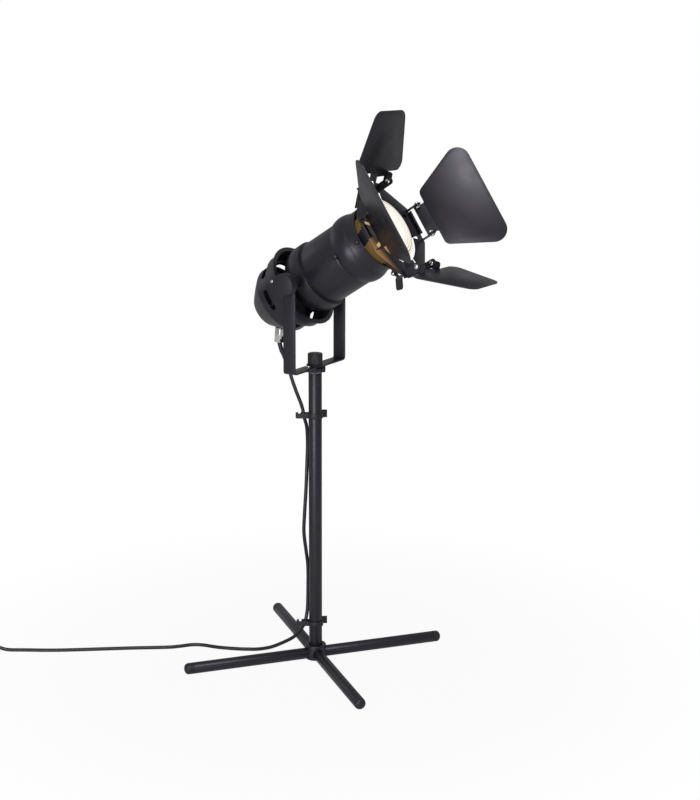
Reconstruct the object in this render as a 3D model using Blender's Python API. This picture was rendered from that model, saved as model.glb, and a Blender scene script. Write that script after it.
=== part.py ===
"""Table lamp in the shape of a small stage spotlight: a can head with four barn doors, held in a
U-shaped yoke on a pole with a cross base, with its clips, mains lead, in-line switch and plug.

Metres, +Z up. The origin is on the table, under the middle of the hub. The head looks along -Y,
and its tilt axis runs along X. Positions on the head are given in the head's own frame: Z along
the can towards the light, X towards the far pivot, Y upwards, with its origin on the tilt axis.
"""
import math

import bmesh
import bpy
from mathutils import Matrix, Vector

# Running clearances
seat_gap = 0.0003
overrun = 0.004

# Pole and base
pole_diameter = 0.016
pole_wall = 0.0012
pole_top = 0.3607
pole_socket_floor = 0.005
hub_diameter = 0.0256
hub_height = 0.018
hub_edge = 0.0012
leg_diameter = 0.0136
leg_wall = 0.0012
leg_reach = 0.1662
leg_start = 0.0095
leg_turn = math.radians(-40.05)
leg_count = 4
cap_length = 0.0105
cap_round = 0.0052
cap_spigot = 0.008

# Swivel stack on the pole's top
stud_diameter = 0.010
plug_length = 0.018
washer_diameter = 0.0152
washer_thickness = 0.0012
nut_across_flats = 0.0245
swivel_rise = 0.0068
flange_diameter = 0.021
flange_thickness = 0.0012
knob_diameter = 0.0178
knob_height = 0.0130
knob_floor = 0.0022
knob_edge = 0.0008
yoke_underside = pole_top + swivel_rise

# Yoke
yoke_strap = 0.016
yoke_thickness = 0.002
yoke_bend = 0.0045
head_clearance = 0.0390
earth_screw_offset = 0.0155
earth_screw_diameter = 0.0056
earth_screw_height = 0.0022

# Pivots
head_tilt = math.radians(32.65)
pivot_bush_diameter = 0.012
pivot_stud_diameter = 0.006
pivot_washer_diameter = 0.0175
pivot_washer_thickness = 0.0012
pivot_knob_diameter = 0.0262
pivot_knob_height = 0.0119
pivot_knob_floor = 0.0024
pivot_knob_edge = 0.0010

# Can: a spun shell with a bead behind, a plain tube, a bell and a front collar
shell_wall = 0.0011
tube_radius = 0.0387
neck_start = -0.0140
neck_end = 0.0122
neck_swell = 0.0026
neck_draw = 0.0028
groove_depth = 0.0008
bell_start = 0.0605
bell_end = 0.0840
bell_swell = 0.0029
can_front = 0.0985
rim_lip = 0.0007

# Rear housing: cone, slotted band and collar with a flange
housing_back = -0.0818
housing_flat = 0.0205
cone_end = -0.0544
band_step = 0.0026
band_radius = tube_radius + band_step
collar_start = -0.0343
collar_step = 0.0054
collar_radius = band_radius + collar_step
flange_station = -0.0180
flange_step = 0.0039
flange_reach = collar_radius + flange_step
flange_sheet = 0.0012
vent_station = -0.0447
vent_width = 0.0064
vent_count = 6
vent_sweep = math.radians(37.0)
cone_mid_share = 0.42
cone_bulge_share = 1.17

# The yoke's arms stand beside the housing's flange, and the tilt axis stands so far over the cap
# knob that the flange swings clear of it
yoke_side_room = 0.00635
yoke_width = (flange_reach + yoke_side_room) * 2
flange_top = yoke_underside + yoke_thickness + flange_thickness + seat_gap * 2
pivot_height = flange_top + knob_height + flange_reach + head_clearance

# Lamp and lamp holder
bowl_room = 0.0037
bowl_radius = tube_radius - bowl_room
lens_overhang = 0.0015
lens_radius = bowl_radius + lens_overhang
lens_front = 0.1225
lens_edge = 0.0030
lens_crown = 0.0030
reflector_back = 0.0600
reflector_neck_share = 0.387597
reflector_neck = tube_radius * reflector_neck_share
screw_cap_radius = 0.0130
screw_cap_length = 0.0260
contact_radius = 0.0040
contact_length = 0.0030
holder_radius = 0.0170
holder_wall = 0.0030
holder_back = -0.0120
nipple_diameter = 0.010

# Holder clips on the can's rim and the barn-door plate in them
clip_share = 0.413437
wide_clip_share = 0.852713
far_clip_share = 0.749354
clip_width = tube_radius * clip_share
wide_clip_width = tube_radius * wide_clip_share
far_clip_width = tube_radius * far_clip_share
clip_flare_share = 0.620155
clip_flare_half = tube_radius * clip_flare_share
clip_flare_start_share = 0.22
clip_flare_end_share = 0.85
clip_flare_sheet_share = 0.8
clip_room = 0.0024
clip_sheet = 0.0010
clip_root = 0.0880
clip_lip = 0.0045
plate_station = 0.1190
plate_sheet = 0.0012
plate_margin = 0.0188
plate_half = tube_radius + plate_margin
plate_hinge_half = 0.0225
plate_corner = 0.0010
hole_room = 0.0035
plate_hole = lens_radius + hole_room
plate_drop = 0.0032
notch_depth = 0.0100
notch_reach = plate_hole + notch_depth
notch_width = 0.0042
notch_angle = math.radians(17.5)
ear_width = 0.0090
ear_sheet = 0.0012
ear_place = 0.0192
hinge_inset = 0.0045
hinge_reach = plate_half - hinge_inset
hinge_stand = 0.0165
hinge_screw_diameter = 0.0030
hinge_head_diameter = 0.0056
hinge_head_height = 0.0020

# Barn doors: wide doors at the sides, narrow ones above and below
door_sheet = 0.0010
door_neck = 0.0183
door_neck_end = -0.0052
near_door_neck_end = -0.0108
door_offset = 0.0048
door_tab = 0.0066
wide_door_root = 0.0085
wide_door_reach = 0.0800
wide_door_half = 0.0695
wide_door_shoulder = 0.0346
near_door_shoulder = 0.0376
wide_door_shift = -0.0022
wide_door_corner = 0.0150
wide_door_shoulder_round = 0.0080
narrow_door_root = 0.0100
narrow_door_reach = 0.0805
narrow_door_half = 0.0326
narrow_door_shoulder = 0.0540
top_door_shift = 0.0014
bottom_door_shift = -0.0012
narrow_tab_reach = 0.0105
narrow_door_notch = 0.0049
neck_leg = 0.0040
narrow_door_corner = 0.0140
narrow_door_shoulder_round = 0.0100
neck_round = 0.0015
far_door_angle = math.radians(28.0)
top_door_angle = math.radians(44.0)
near_door_angle = math.radians(47.5)
bottom_door_angle = math.radians(42.0)

# Retaining latch under the bottom clip, as (distance beyond the plate's edge, station)
latch_pivot_beyond = (-0.0104, 0.0998)
latch_path_beyond = ((-0.0020, 0.1125), (-0.0052, 0.1030), (-0.0040, 0.0985), (0.0080, 0.0924))
latch_pivot = (plate_half + latch_pivot_beyond[0], latch_pivot_beyond[1])
latch_path = [(plate_half + beyond, station) for beyond, station in latch_path_beyond]
latch_half = 0.0078
latch_sheet = 0.0010
latch_lug = 0.0026
latch_pin_diameter = 0.0030
latch_cheek = 0.0094

# Cable gland under the cone
gland_station = -0.0745
gland_hex = 0.0122
gland_length = 0.0176
gland_bore = 0.0066
boot_radius = 0.0030
boot_tip_radius = 0.0026

# Cable clips on the pole
upper_clip_drop = 0.0522
lower_clip_height = 0.0455
band_sheet = 0.0011
band_height = 0.0062
loop_reach = 0.0235
loop_half = 0.0042
loop_mouth = 0.0030
wing_reach = 0.0143
wing_height = 0.0095

# Mains lead, through chosen points in the lead's frame (X to the side where it lies, Y towards
# the viewer): in the boot from the tilt axis down, then from the pole's top down past the upper
# clip, beside the pole as shares of its height, and round the lower clip onto the table
lead_side = math.radians(121.77)
lead_diameter = 0.0044
lead_spacing = 0.0108
boot_route = ((0.04217, -0.02611, -0.0734), (0.04267, -0.02642, -0.0807), (0.0413, -0.0257, -0.0877),
              (0.0393, -0.0245, -0.0938))
upper_route = ((0.0350, -0.0219, 0.0093), (0.0309, -0.0193, -0.0017), (0.0275, -0.0160, -0.0127),
               (0.0226, -0.0110, -0.0257), (0.0170, -0.0040, -0.0387), (0.0146, -0.0008, -0.0467),
               (0.0135, 0.0, -0.0522), (0.0125, -0.0010, -0.0577), (0.0102, -0.0042, -0.0677))
beside_route_share = ((0.0093, -0.0056, 0.759634), (0.0099, -0.0046, 0.698642),
                      (0.0112, -0.0020, 0.606044), (0.0132, 0.0, 0.512337), (0.0140, 0.0, 0.449404),
                      (0.0116, -0.0016, 0.386194), (0.0094, -0.0054, 0.328805),
                      (0.0092, -0.0058, 0.258109))
table_route = ((0.0098, -0.0046, 0.0660), (0.0112, -0.0006, 0.0545), (0.0132, -0.0001, 0.0460),
               (0.0165, -0.0004, 0.0390), (0.0220, -0.0025, 0.0310), (0.0300, -0.0050, 0.0228),
               (0.0500, -0.0120, 0.0105), (0.0640, -0.0170, 0.0048), (0.0790, -0.0205, 0.0022),
               (0.0961, -0.0220, 0.0022), (0.1219, -0.0275, 0.0022), (0.1411, -0.0350, 0.0022),
               (0.1553, -0.0367, 0.0022), (0.1690, -0.0325, 0.0022), (0.1830, -0.0291, 0.0022),
               (0.2074, -0.0277, 0.0022), (0.2360, -0.0265, 0.0022), (0.3188, -0.0212, 0.0022),
               (0.3640, -0.0224, 0.0022), (0.3820, -0.0227, 0.0024), (0.3890, -0.0229, 0.0035),
               (0.3950, -0.0229, 0.0055), (0.4000, -0.0229, 0.0064), (0.4040, -0.0229, 0.0064))
yoke_split_drop = 0.0157
stand_split_drop = 0.0392

# In-line switch
switch_length = 0.0620
switch_width = 0.0250
switch_height = 0.0165
switch_edge = 0.0030
lead_entry_height = 0.0064
rocker_length = 0.0190
rocker_width = 0.0120
rocker_stand = 0.0022
rocker_depth = 0.0050
rocker_room = 0.0080
rocker_tilt = math.radians(7.0)

# Coil of spare lead and plug
coil_offset = 0.0345
coil_inner_radius = 0.0188
coil_pitch = 0.0058
coil_layer = 0.0052
coil_turns_each = 2.5
coil_climb_turns = 0.5
coil_loop_points = 22
coil_lead_in_share = ((0.2, 1.0), (0.55, 0.55))
coil_touch_share = 0.9
tail_length = 0.0300
tail_level_share = 0.4
tail_rise_share = 0.8
plug_body_length = 0.0350
plug_body_width = 0.0350
plug_body_height = 0.0137
plug_nose_width = 0.0150
plug_waist_share = 0.45
plug_shoulder_share = 0.7
plug_round_share = 0.4
plug_pin_diameter = 0.0040
plug_pin_length = 0.0190
plug_pin_spacing = 0.0190

# Colours
satin_black = (0.030, 0.029, 0.033)
plastic_black = (0.022, 0.022, 0.024)
bright_steel = (0.75, 0.74, 0.72)
brass_tone = (0.72, 0.55, 0.24)
lamp_glass = (0.95, 0.88, 0.72)
lead_black = (0.018, 0.018, 0.020)

round_steps = 32
small_steps = 16
tiny_steps = 12


def clear_scene():
    for old in list(bpy.data.objects):
        bpy.data.objects.remove(old, do_unlink=True)


def finish(name, colour, roughness, metallic):
    made = bpy.data.materials.new(name)
    made.use_nodes = True
    shader = made.node_tree.nodes["Principled BSDF"]
    shader.inputs["Base Color"].default_value = (*colour, 1.0)
    shader.inputs["Roughness"].default_value = roughness
    shader.inputs["Metallic"].default_value = metallic
    return made


def painted():
    return finish("black_powder_coat", satin_black, 0.45, 0.0)


def moulded():
    return finish("black_plastic", plastic_black, 0.5, 0.0)


def plated():
    return finish("bright_plate", bright_steel, 0.2, 1.0)


def add_object(name, mesh_source, material, parent=None, place=None):
    """Turn a bmesh into a named object, smooth on its round faces."""
    bmesh.ops.recalc_face_normals(mesh_source, faces=mesh_source.faces[:])
    mesh = bpy.data.meshes.new(name)
    mesh_source.to_mesh(mesh)
    mesh_source.free()
    mesh.shade_smooth()
    mesh.set_sharp_from_angle(angle=math.radians(35.0))
    mesh.materials.append(material)
    made = bpy.data.objects.new(name, mesh)
    bpy.context.scene.collection.objects.link(made)
    made.parent = parent
    if place is not None:
        made.matrix_basis = place
    return made


def add_empty(name, parent=None, place=None):
    made = bpy.data.objects.new(name, None)
    bpy.context.scene.collection.objects.link(made)
    made.parent = parent
    if place is not None:
        made.matrix_basis = place
    return made


def spun(profile, steps, closed=False):
    """Spin a profile of (radius, height) points round Z."""
    mesh = bmesh.new()
    verts = [mesh.verts.new((radius, 0.0, height)) for radius, height in profile]
    pairs = list(zip(verts, verts[1:]))
    if closed:
        pairs.append((verts[-1], verts[0]))
    edges = [mesh.edges.new(pair) for pair in pairs]
    bmesh.ops.spin(mesh, geom=verts + edges, cent=(0, 0, 0), axis=(0, 0, 1), dvec=(0, 0, 0),
                   angle=math.tau, steps=steps, use_merge=True, use_duplicate=False)
    bmesh.ops.remove_doubles(mesh, verts=mesh.verts[:], dist=seat_gap / round_steps)
    return mesh


def rod(radius, low, high, edge=0.0, steps=small_steps):
    """A round bar from low to high on Z, with its two edges broken by a chamfer."""
    if edge > 0.0:
        profile = [(0, low), (radius - edge, low), (radius, low + edge), (radius, high - edge),
                   (radius - edge, high), (0, high)]
    else:
        profile = [(0, low), (radius, low), (radius, high), (0, high)]
    return spun(profile, steps)


def tube(outer, inner, low, high, steps=small_steps):
    return spun([(inner, low), (outer, low), (outer, high), (inner, high)], steps, closed=True)


def prism(outline, low, high):
    """Extrude an outline of (x, y) points from low to high on Z."""
    mesh = bmesh.new()
    face = mesh.faces.new([mesh.verts.new((x, y, low)) for x, y in outline])
    moved = bmesh.ops.extrude_face_region(mesh, geom=[face])
    lifted = [item for item in moved["geom"] if isinstance(item, bmesh.types.BMVert)]
    bmesh.ops.translate(mesh, verts=lifted, vec=(0, 0, high - low))
    return mesh


def polygon(sides, across_flats):
    corner = across_flats / 2 / math.cos(math.pi / sides)
    return [(corner * math.cos(math.tau * (step + 0.5) / sides),
             corner * math.sin(math.tau * (step + 0.5) / sides)) for step in range(sides)]


def rounded(corners, steps=4):
    """Round each (x, y, radius) corner of a closed outline with an arc."""
    outline = []
    count = len(corners)
    for index, (x, y, radius) in enumerate(corners):
        here = Vector((x, y))
        back = (Vector(corners[index - 1][:2]) - here).normalized()
        ahead = (Vector(corners[(index + 1) % count][:2]) - here).normalized()
        if radius <= 0.0:
            outline.append(tuple(here))
            continue
        half = back.angle(ahead) / 2
        reach = radius / math.tan(half)
        centre = here + (back + ahead).normalized() * (radius / math.sin(half))
        first = here + back * reach - centre
        last = here + ahead * reach - centre
        start = math.atan2(first.y, first.x)
        sweep = (math.atan2(last.y, last.x) - start + math.pi) % math.tau - math.pi
        for step in range(steps + 1):
            turn = start + sweep * step / steps
            outline.append((centre.x + radius * math.cos(turn), centre.y + radius * math.sin(turn)))
    return outline


def combine(target, name, mesh_source, operation, parent, place):
    """Add a hidden guide shape to an object, or cut it out."""
    guide = add_object(name, mesh_source, target.data.materials[0], parent, place)
    guide.hide_render = True
    guide.display_type = "WIRE"
    step = target.modifiers.new(name, "BOOLEAN")
    step.operation = operation
    step.solver = "EXACT"
    step.object = guide


def cut(target, name, mesh_source, parent=None, place=None):
    combine(target, name, mesh_source, "DIFFERENCE", parent, place)


def join(target, name, mesh_source, parent=None, place=None):
    combine(target, name, mesh_source, "UNION", parent, place)


def along(direction, place=(0, 0, 0)):
    """A frame whose Z runs along a direction."""
    turn = Vector(direction).to_track_quat("Z", "Y").to_matrix().to_4x4()
    return Matrix.Translation(Vector(place)) @ turn


# Base

def leg_frame(index):
    turn = Matrix.Rotation(leg_turn + math.tau * index / leg_count, 4, "Z")
    lift = Matrix.Translation((0, 0, leg_diameter / 2))
    return lift @ turn @ Matrix.Rotation(math.pi / 2, 4, "Y")


def build_base():
    hub = add_object("hub", rod(hub_diameter / 2, 0.0, hub_height, hub_edge, round_steps), painted())
    bore = rod(pole_diameter / 2 + seat_gap, pole_socket_floor, hub_height + overrun)
    cut(hub, "pole_socket_cut", bore)
    for index in range(leg_count):
        socket = rod(leg_diameter / 2 + seat_gap, leg_start - seat_gap, hub_diameter)
        cut(hub, f"leg_socket_cut_{index}", socket, place=leg_frame(index))
        leg_radius = leg_diameter / 2
        leg_end = leg_reach - cap_length
        leg = tube(leg_radius, leg_radius - leg_wall, leg_start, leg_end)
        add_object(f"leg_{index + 1}", leg, painted(), place=leg_frame(index))
        spigot = leg_radius - leg_wall - seat_gap
        profile = [(0, leg_end - cap_spigot), (spigot, leg_end - cap_spigot),
                   (spigot, leg_end + seat_gap), (leg_radius, leg_end + seat_gap)]
        for step in range(7):
            turn = math.pi / 2 * step / 6
            profile.append((leg_radius - cap_round + cap_round * math.cos(turn),
                            leg_reach - cap_round + cap_round * math.sin(turn)))
        profile.append((0, leg_reach))
        add_object(f"leg_end_cap_{index + 1}", spun(profile, small_steps), moulded(),
                   place=leg_frame(index))


def build_pole():
    radius = pole_diameter / 2
    pole = tube(radius, radius - pole_wall, pole_socket_floor + seat_gap, pole_top, round_steps)
    add_object("pole", pole, painted())
    plug_radius = radius - pole_wall - seat_gap
    stud_top = flange_top + knob_height - knob_floor - seat_gap * 2
    stud_radius = stud_diameter / 2
    profile = [(0, pole_top - plug_length), (plug_radius, pole_top - plug_length),
               (plug_radius, pole_top), (stud_radius, pole_top), (stud_radius, stud_top), (0, stud_top)]
    add_object("swivel_stud", spun(profile, small_steps), plated())
    hole = stud_radius + seat_gap
    base = pole_top + seat_gap
    washer = tube(washer_diameter / 2, hole, base, base + washer_thickness, round_steps)
    add_object("swivel_washer", washer, plated())
    nut_low = base + washer_thickness + seat_gap
    nut = add_object("swivel_nut", prism(polygon(6, nut_across_flats), nut_low,
                                         yoke_underside - seat_gap), painted())
    cut(nut, "swivel_nut_cut", rod(hole, nut_low - overrun, yoke_underside + overrun))
    flange_low = yoke_underside + yoke_thickness + seat_gap
    flange_high = flange_low + flange_thickness
    add_object("swivel_flange", tube(flange_diameter / 2, hole, flange_low, flange_high, round_steps),
               painted())
    knob_low = flange_high + seat_gap
    knob_radius = knob_diameter / 2
    knob_high = knob_low + knob_height
    profile = [(hole, knob_low), (knob_radius, knob_low), (knob_radius, knob_high - knob_edge),
               (knob_radius - knob_edge, knob_high), (0, knob_high), (0, stud_top + seat_gap),
               (hole, stud_top + seat_gap)]
    add_object("cap_knob", capped_ring(profile, round_steps), moulded())


# Yoke

def build_yoke():
    half = yoke_width / 2
    strap_half = yoke_strap / 2
    inner = half - yoke_thickness
    floor = yoke_underside + yoke_thickness
    top = pivot_height + strap_half
    inner_bend = yoke_bend - yoke_thickness
    corners = [(-half, yoke_underside, yoke_bend), (half, yoke_underside, yoke_bend), (half, top, 0),
               (inner, top, 0), (inner, floor, inner_bend), (-inner, floor, inner_bend),
               (-inner, top, 0), (-half, top, 0)]
    profile = prism(rounded(corners), -strap_half, strap_half)
    ends = [edge for edge in profile.edges
            if all(vert.co.y > top - seat_gap for vert in edge.verts)
            and abs(edge.verts[0].co.x - edge.verts[1].co.x) > yoke_thickness / 2]
    bmesh.ops.bevel(profile, geom=ends, offset=strap_half - seat_gap, affect="EDGES", segments=6,
                    profile=0.5, material=-1)
    yoke = add_object("yoke", profile, painted(), place=Matrix.Rotation(math.pi / 2, 4, "X"))
    stud_hole = rod(stud_diameter / 2 + seat_gap, yoke_underside - overrun, floor + overrun)
    cut(yoke, "swivel_hole_cut", stud_hole)
    pivot_hole = rod(pivot_stud_diameter / 2 + seat_gap, -yoke_width, yoke_width)
    cut(yoke, "pivot_hole_cut", pivot_hole, place=along((1, 0, 0), (0, 0, pivot_height)))
    screw_low = floor + seat_gap
    screw = rod(earth_screw_diameter / 2, screw_low, screw_low + earth_screw_height, knob_edge)
    add_object("earth_screw", screw, plated(), place=Matrix.Translation((-earth_screw_offset, 0, 0)))


def build_pivots(head):
    """Bushes and studs on the can, washers on the arms and the two clamping knobs."""
    inner = yoke_width / 2 - yoke_thickness
    outer = yoke_width / 2
    bush_radius = pivot_bush_diameter / 2
    stud_radius = pivot_stud_diameter / 2
    hole = stud_radius + seat_gap
    bush_start = tube_radius + neck_swell + seat_gap * 2
    washer_low = outer + seat_gap
    washer_high = washer_low + pivot_washer_thickness
    knob_low = washer_high + seat_gap
    knob_high = knob_low + pivot_knob_height
    stud_end = knob_high - pivot_knob_floor
    knob_radius = pivot_knob_diameter / 2
    for name, side in (("near", -1), ("far", 1)):
        place = along((side, 0, 0))
        profile = [(0, bush_start), (bush_radius, bush_start), (bush_radius, inner - seat_gap),
                   (stud_radius, inner - seat_gap), (stud_radius, stud_end), (0, stud_end)]
        add_object(f"pivot_stud_{name}", spun(profile, small_steps), painted(), head, place)
        world = Matrix.Translation((0, 0, pivot_height)) @ place
        washer = tube(pivot_washer_diameter / 2, hole, washer_low, washer_high, small_steps)
        add_object(f"pivot_washer_{name}", washer, moulded(), place=world)
        profile = [(hole, knob_low), (knob_radius, knob_low), (knob_radius, knob_high - pivot_knob_edge),
                   (knob_radius - pivot_knob_edge, knob_high), (0, knob_high), (0, stud_end + seat_gap),
                   (hole, stud_end + seat_gap)]
        add_object(f"pivot_knob_{name}", capped_ring(profile, round_steps), moulded(), place=world)


def capped_ring(profile, steps):
    """Spin a closed profile that touches the axis along one of its edges."""
    mesh = bmesh.new()
    verts = [mesh.verts.new((radius, 0.0, height)) for radius, height in profile]
    pairs = zip(verts, verts[1:] + verts[:1])
    edges = [mesh.edges.new(pair) for pair in pairs if pair[0].co.x + pair[1].co.x > 0.0]
    bmesh.ops.spin(mesh, geom=verts + edges, cent=(0, 0, 0), axis=(0, 0, 1), dvec=(0, 0, 0),
                   angle=math.tau, steps=steps, use_merge=True, use_duplicate=False)
    bmesh.ops.remove_doubles(mesh, verts=mesh.verts[:], dist=seat_gap / round_steps)
    return mesh


# Head

def can_outline():
    """Outer surface of the can from its open back to its front rim, as (radius, station)."""
    bead = tube_radius + neck_swell
    outline = [(tube_radius - neck_draw, neck_start)]
    neck_steps = 6
    span = neck_end - neck_start
    for step in range(1, neck_steps + 1):
        share = step / neck_steps
        outline.append((tube_radius - neck_draw + (neck_swell + neck_draw) * math.sin(share * math.pi / 2),
                        neck_start + span * share * 0.62))
    outline.append((bead, neck_end))
    outline.append((tube_radius - groove_depth, neck_end + groove_depth * 1.5))
    outline.append((tube_radius, neck_end + groove_depth * 4))
    outline.append((tube_radius, bell_start - groove_depth * 3))
    outline.append((tube_radius - groove_depth / 2, bell_start))
    bell_steps = 8
    for step in range(1, bell_steps):
        share = step / bell_steps
        outline.append((tube_radius + bell_swell * math.sin(share * math.pi),
                        bell_start + (bell_end - bell_start) * share))
    outline.append((tube_radius - groove_depth / 2, bell_end))
    outline.append((tube_radius - groove_depth / 2, can_front - rim_lip * 3))
    outline.append((tube_radius - groove_depth / 2 + rim_lip, can_front - rim_lip))
    outline.append((tube_radius - groove_depth / 2, can_front))
    return outline


def shell(outline, wall):
    """Close an outer profile with the same profile moved inwards by the wall."""
    inner = []
    for index, (radius, station) in enumerate(outline):
        before = Vector(outline[max(index - 1, 0)])
        after = Vector(outline[min(index + 1, len(outline) - 1)])
        run = (after - before).normalized()
        inner.append((radius - wall * run.y, station + wall * run.x))
    inner[0] = (outline[0][0] - wall, outline[0][1])
    inner[-1] = (outline[-1][0] - wall, outline[-1][1])
    return outline + inner[::-1]


def build_can(head):
    profile = shell(can_outline(), shell_wall)
    add_object("can_body", spun(profile, round_steps, closed=True), painted(), head)


def build_housing(head):
    """The spun rear cover, with vents through its band and a flange round its open front."""
    wall = shell_wall
    cone_mid = (housing_flat + (band_radius - housing_flat) * cone_mid_share * cone_bulge_share,
                housing_back + (cone_end - housing_back) * cone_mid_share)
    outer = [(0, housing_back), (housing_flat - wall, housing_back),
             (housing_flat + wall, housing_back + wall),
             cone_mid, (band_radius - wall, cone_end - wall * 2), (band_radius, cone_end),
             (band_radius, collar_start), (collar_radius - wall, collar_start),
             (collar_radius, collar_start + wall), (collar_radius, flange_station - flange_sheet),
             (flange_reach, flange_station - flange_sheet), (flange_reach, flange_station)]
    inner = [(collar_radius - wall, flange_station), (collar_radius - wall, collar_start + wall),
             (band_radius - wall, collar_start + wall), (band_radius - wall, cone_end),
             (cone_mid[0] - wall, cone_mid[1] + wall), (housing_flat - wall, housing_back + wall * 1.4),
             (0, housing_back + wall * 1.4)]
    housing = add_object("rear_housing", capped_ring(outer + inner, round_steps), painted(), head)
    nipple_hole = rod(nipple_diameter / 2 + seat_gap, housing_back - overrun, housing_back + overrun)
    cut(housing, "nipple_hole_cut", nipple_hole, head)
    for index in range(vent_count):
        place = Matrix.Rotation(math.pi + math.tau * index / vent_count, 4, "Z")
        cut(housing, f"vent_cut_{index}", vent_cutter(), head, place)
    gland_hole = rod(gland_bore / 2 + seat_gap, -overrun, overrun)
    cut(housing, "gland_hole_cut", gland_hole, head, gland_frame())


def vent_cutter():
    """A curved slot with round ends, through the band on its +X side."""
    mesh = bmesh.new()
    half = vent_width / 2
    sweep = vent_sweep / 2 - half / band_radius
    path = []
    steps = 6
    for step in range(steps + 1):
        path.append((-sweep + 2 * sweep * step / steps, vent_station + half))
    for step in range(1, 4):
        turn = math.pi / 2 - math.pi * step / 4
        path.append((sweep + half * math.cos(turn) / band_radius, vent_station + half * math.sin(turn)))
    for step in range(steps + 1):
        path.append((sweep - 2 * sweep * step / steps, vent_station - half))
    for step in range(1, 4):
        turn = -math.pi / 2 - math.pi * step / 4
        path.append((-sweep + half * math.cos(turn) / band_radius, vent_station + half * math.sin(turn)))
    rings = []
    for radius in (band_radius - overrun, band_radius + overrun):
        rings.append([mesh.verts.new((radius * math.cos(turn), radius * math.sin(turn), station))
                      for turn, station in path])
    for ring in rings:
        mesh.faces.new(ring)
    count = len(path)
    for index in range(count):
        after = (index + 1) % count
        mesh.faces.new((rings[0][index], rings[0][after], rings[1][after], rings[1][index]))
    return mesh


def gland_frame():
    """Under the cone, pointing straight down when the head is at rest."""
    slope = math.atan2(band_radius - housing_flat, cone_end - housing_back)
    share = (gland_station - housing_back) / (cone_end - housing_back)
    radius = housing_flat + (band_radius - housing_flat) * share
    out = Vector((0, -math.cos(slope), -math.sin(slope)))
    return along(out, Vector((0, -radius, gland_station)))


def build_gland(head):
    place = gland_frame()
    hex_low = seat_gap * 4
    body = prism(polygon(6, gland_hex), hex_low, hex_low + gland_length)
    ends = [edge for edge in body.edges if abs(edge.verts[0].co.z - edge.verts[1].co.z) < seat_gap]
    bmesh.ops.bevel(body, geom=ends, offset=knob_edge, affect="EDGES", segments=1, profile=0.5,
                    material=-1)
    gland = add_object("cable_gland", body, plated(), head, place)
    cut(gland, "gland_bore_cut", rod(gland_bore / 2, hex_low - overrun, hex_low + gland_length + overrun),
        head, place)


def lead_frame():
    return Matrix.Rotation(lead_side, 4, "Z")


def smooth_route(points, spacing):
    """Even points along a Catmull-Rom curve through a route's points."""
    spots = [Vector(point) for point in points]
    spots = [spots[0] * 2 - spots[1]] + spots + [spots[-1] * 2 - spots[-2]]
    fine = []
    for first, start, end, last in zip(spots, spots[1:], spots[2:], spots[3:]):
        for step in range(24):
            t = step / 24
            fine.append(0.5 * ((2 * start) + (end - first) * t
                               + (2 * first - 5 * start + 4 * end - last) * t * t
                               + (3 * start - first - 3 * end + last) * t ** 3))
    fine.append(spots[-2].copy())
    lengths = [0.0]
    for before, after in zip(fine, fine[1:]):
        lengths.append(lengths[-1] + (after - before).length)
    count = max(round(lengths[-1] / spacing), 3)
    even = []
    place = 0
    for index in range(count + 1):
        want = lengths[-1] * index / count
        while place < len(lengths) - 2 and lengths[place + 1] < want:
            place += 1
        span = lengths[place + 1] - lengths[place]
        even.append(fine[place].lerp(fine[place + 1], (want - lengths[place]) / span))
    return even


def boot_points():
    return smooth_route([(x, y, pivot_height + rise) for x, y, rise in boot_route], lead_spacing / 4)


def lead_points():
    """The lead's whole route from the boot's end to the switch."""
    x, y, rise = boot_route[-1]
    spots = [(x, y, pivot_height + rise)]
    spots += [(x, y, pole_top + rise) for x, y, rise in upper_route]
    spots += [(x, y, pole_top * share) for x, y, share in beside_route_share]
    return smooth_route(spots + list(table_route), lead_spacing)


def run_length(points):
    return sum((after - before).length for before, after in zip(points, points[1:]))


def cable(name, points, radii, resolution, material):
    """A tube with capped ends along points in the lead's frame."""
    curve = bpy.data.curves.new(name, "CURVE")
    curve.dimensions = "3D"
    curve.bevel_depth = 1.0
    curve.bevel_resolution = resolution
    curve.use_fill_caps = True
    spline = curve.splines.new("POLY")
    spline.points.add(len(points) - 1)
    for spot, point, radius in zip(spline.points, points, radii):
        spot.co = (*point, 1.0)
        spot.radius = radius
    curve.materials.append(material)
    made = bpy.data.objects.new(name, curve)
    bpy.context.scene.collection.objects.link(made)
    made.matrix_basis = lead_frame()
    return made


def split_at(points, height):
    """The two halves of a route, parted by the seat gap at a height on its way down."""
    for index, (before, after) in enumerate(zip(points, points[1:])):
        if after.z <= height < before.z:
            share = (before.z - height) / (before.z - after.z)
            spot = before.lerp(after, share)
            run = (after - before).normalized() * (seat_gap / 2)
            head_half = [p for p in points[:index + 1] if (p - spot).length > lead_diameter / 2]
            tail_half = [p for p in points[index + 1:] if (p - spot).length > lead_diameter / 2]
            return head_half + [spot - run], [spot + run] + tail_half
    return points, []


def build_boot():
    """The moulded sleeve from inside the gland to where the lead leaves it, tapering."""
    points = boot_points()
    count = len(points) - 1
    radii = [boot_radius + (boot_tip_radius - boot_radius) * index / count for index in range(count + 1)]
    cable("lead_boot", points, radii, 3, moulded())


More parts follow.
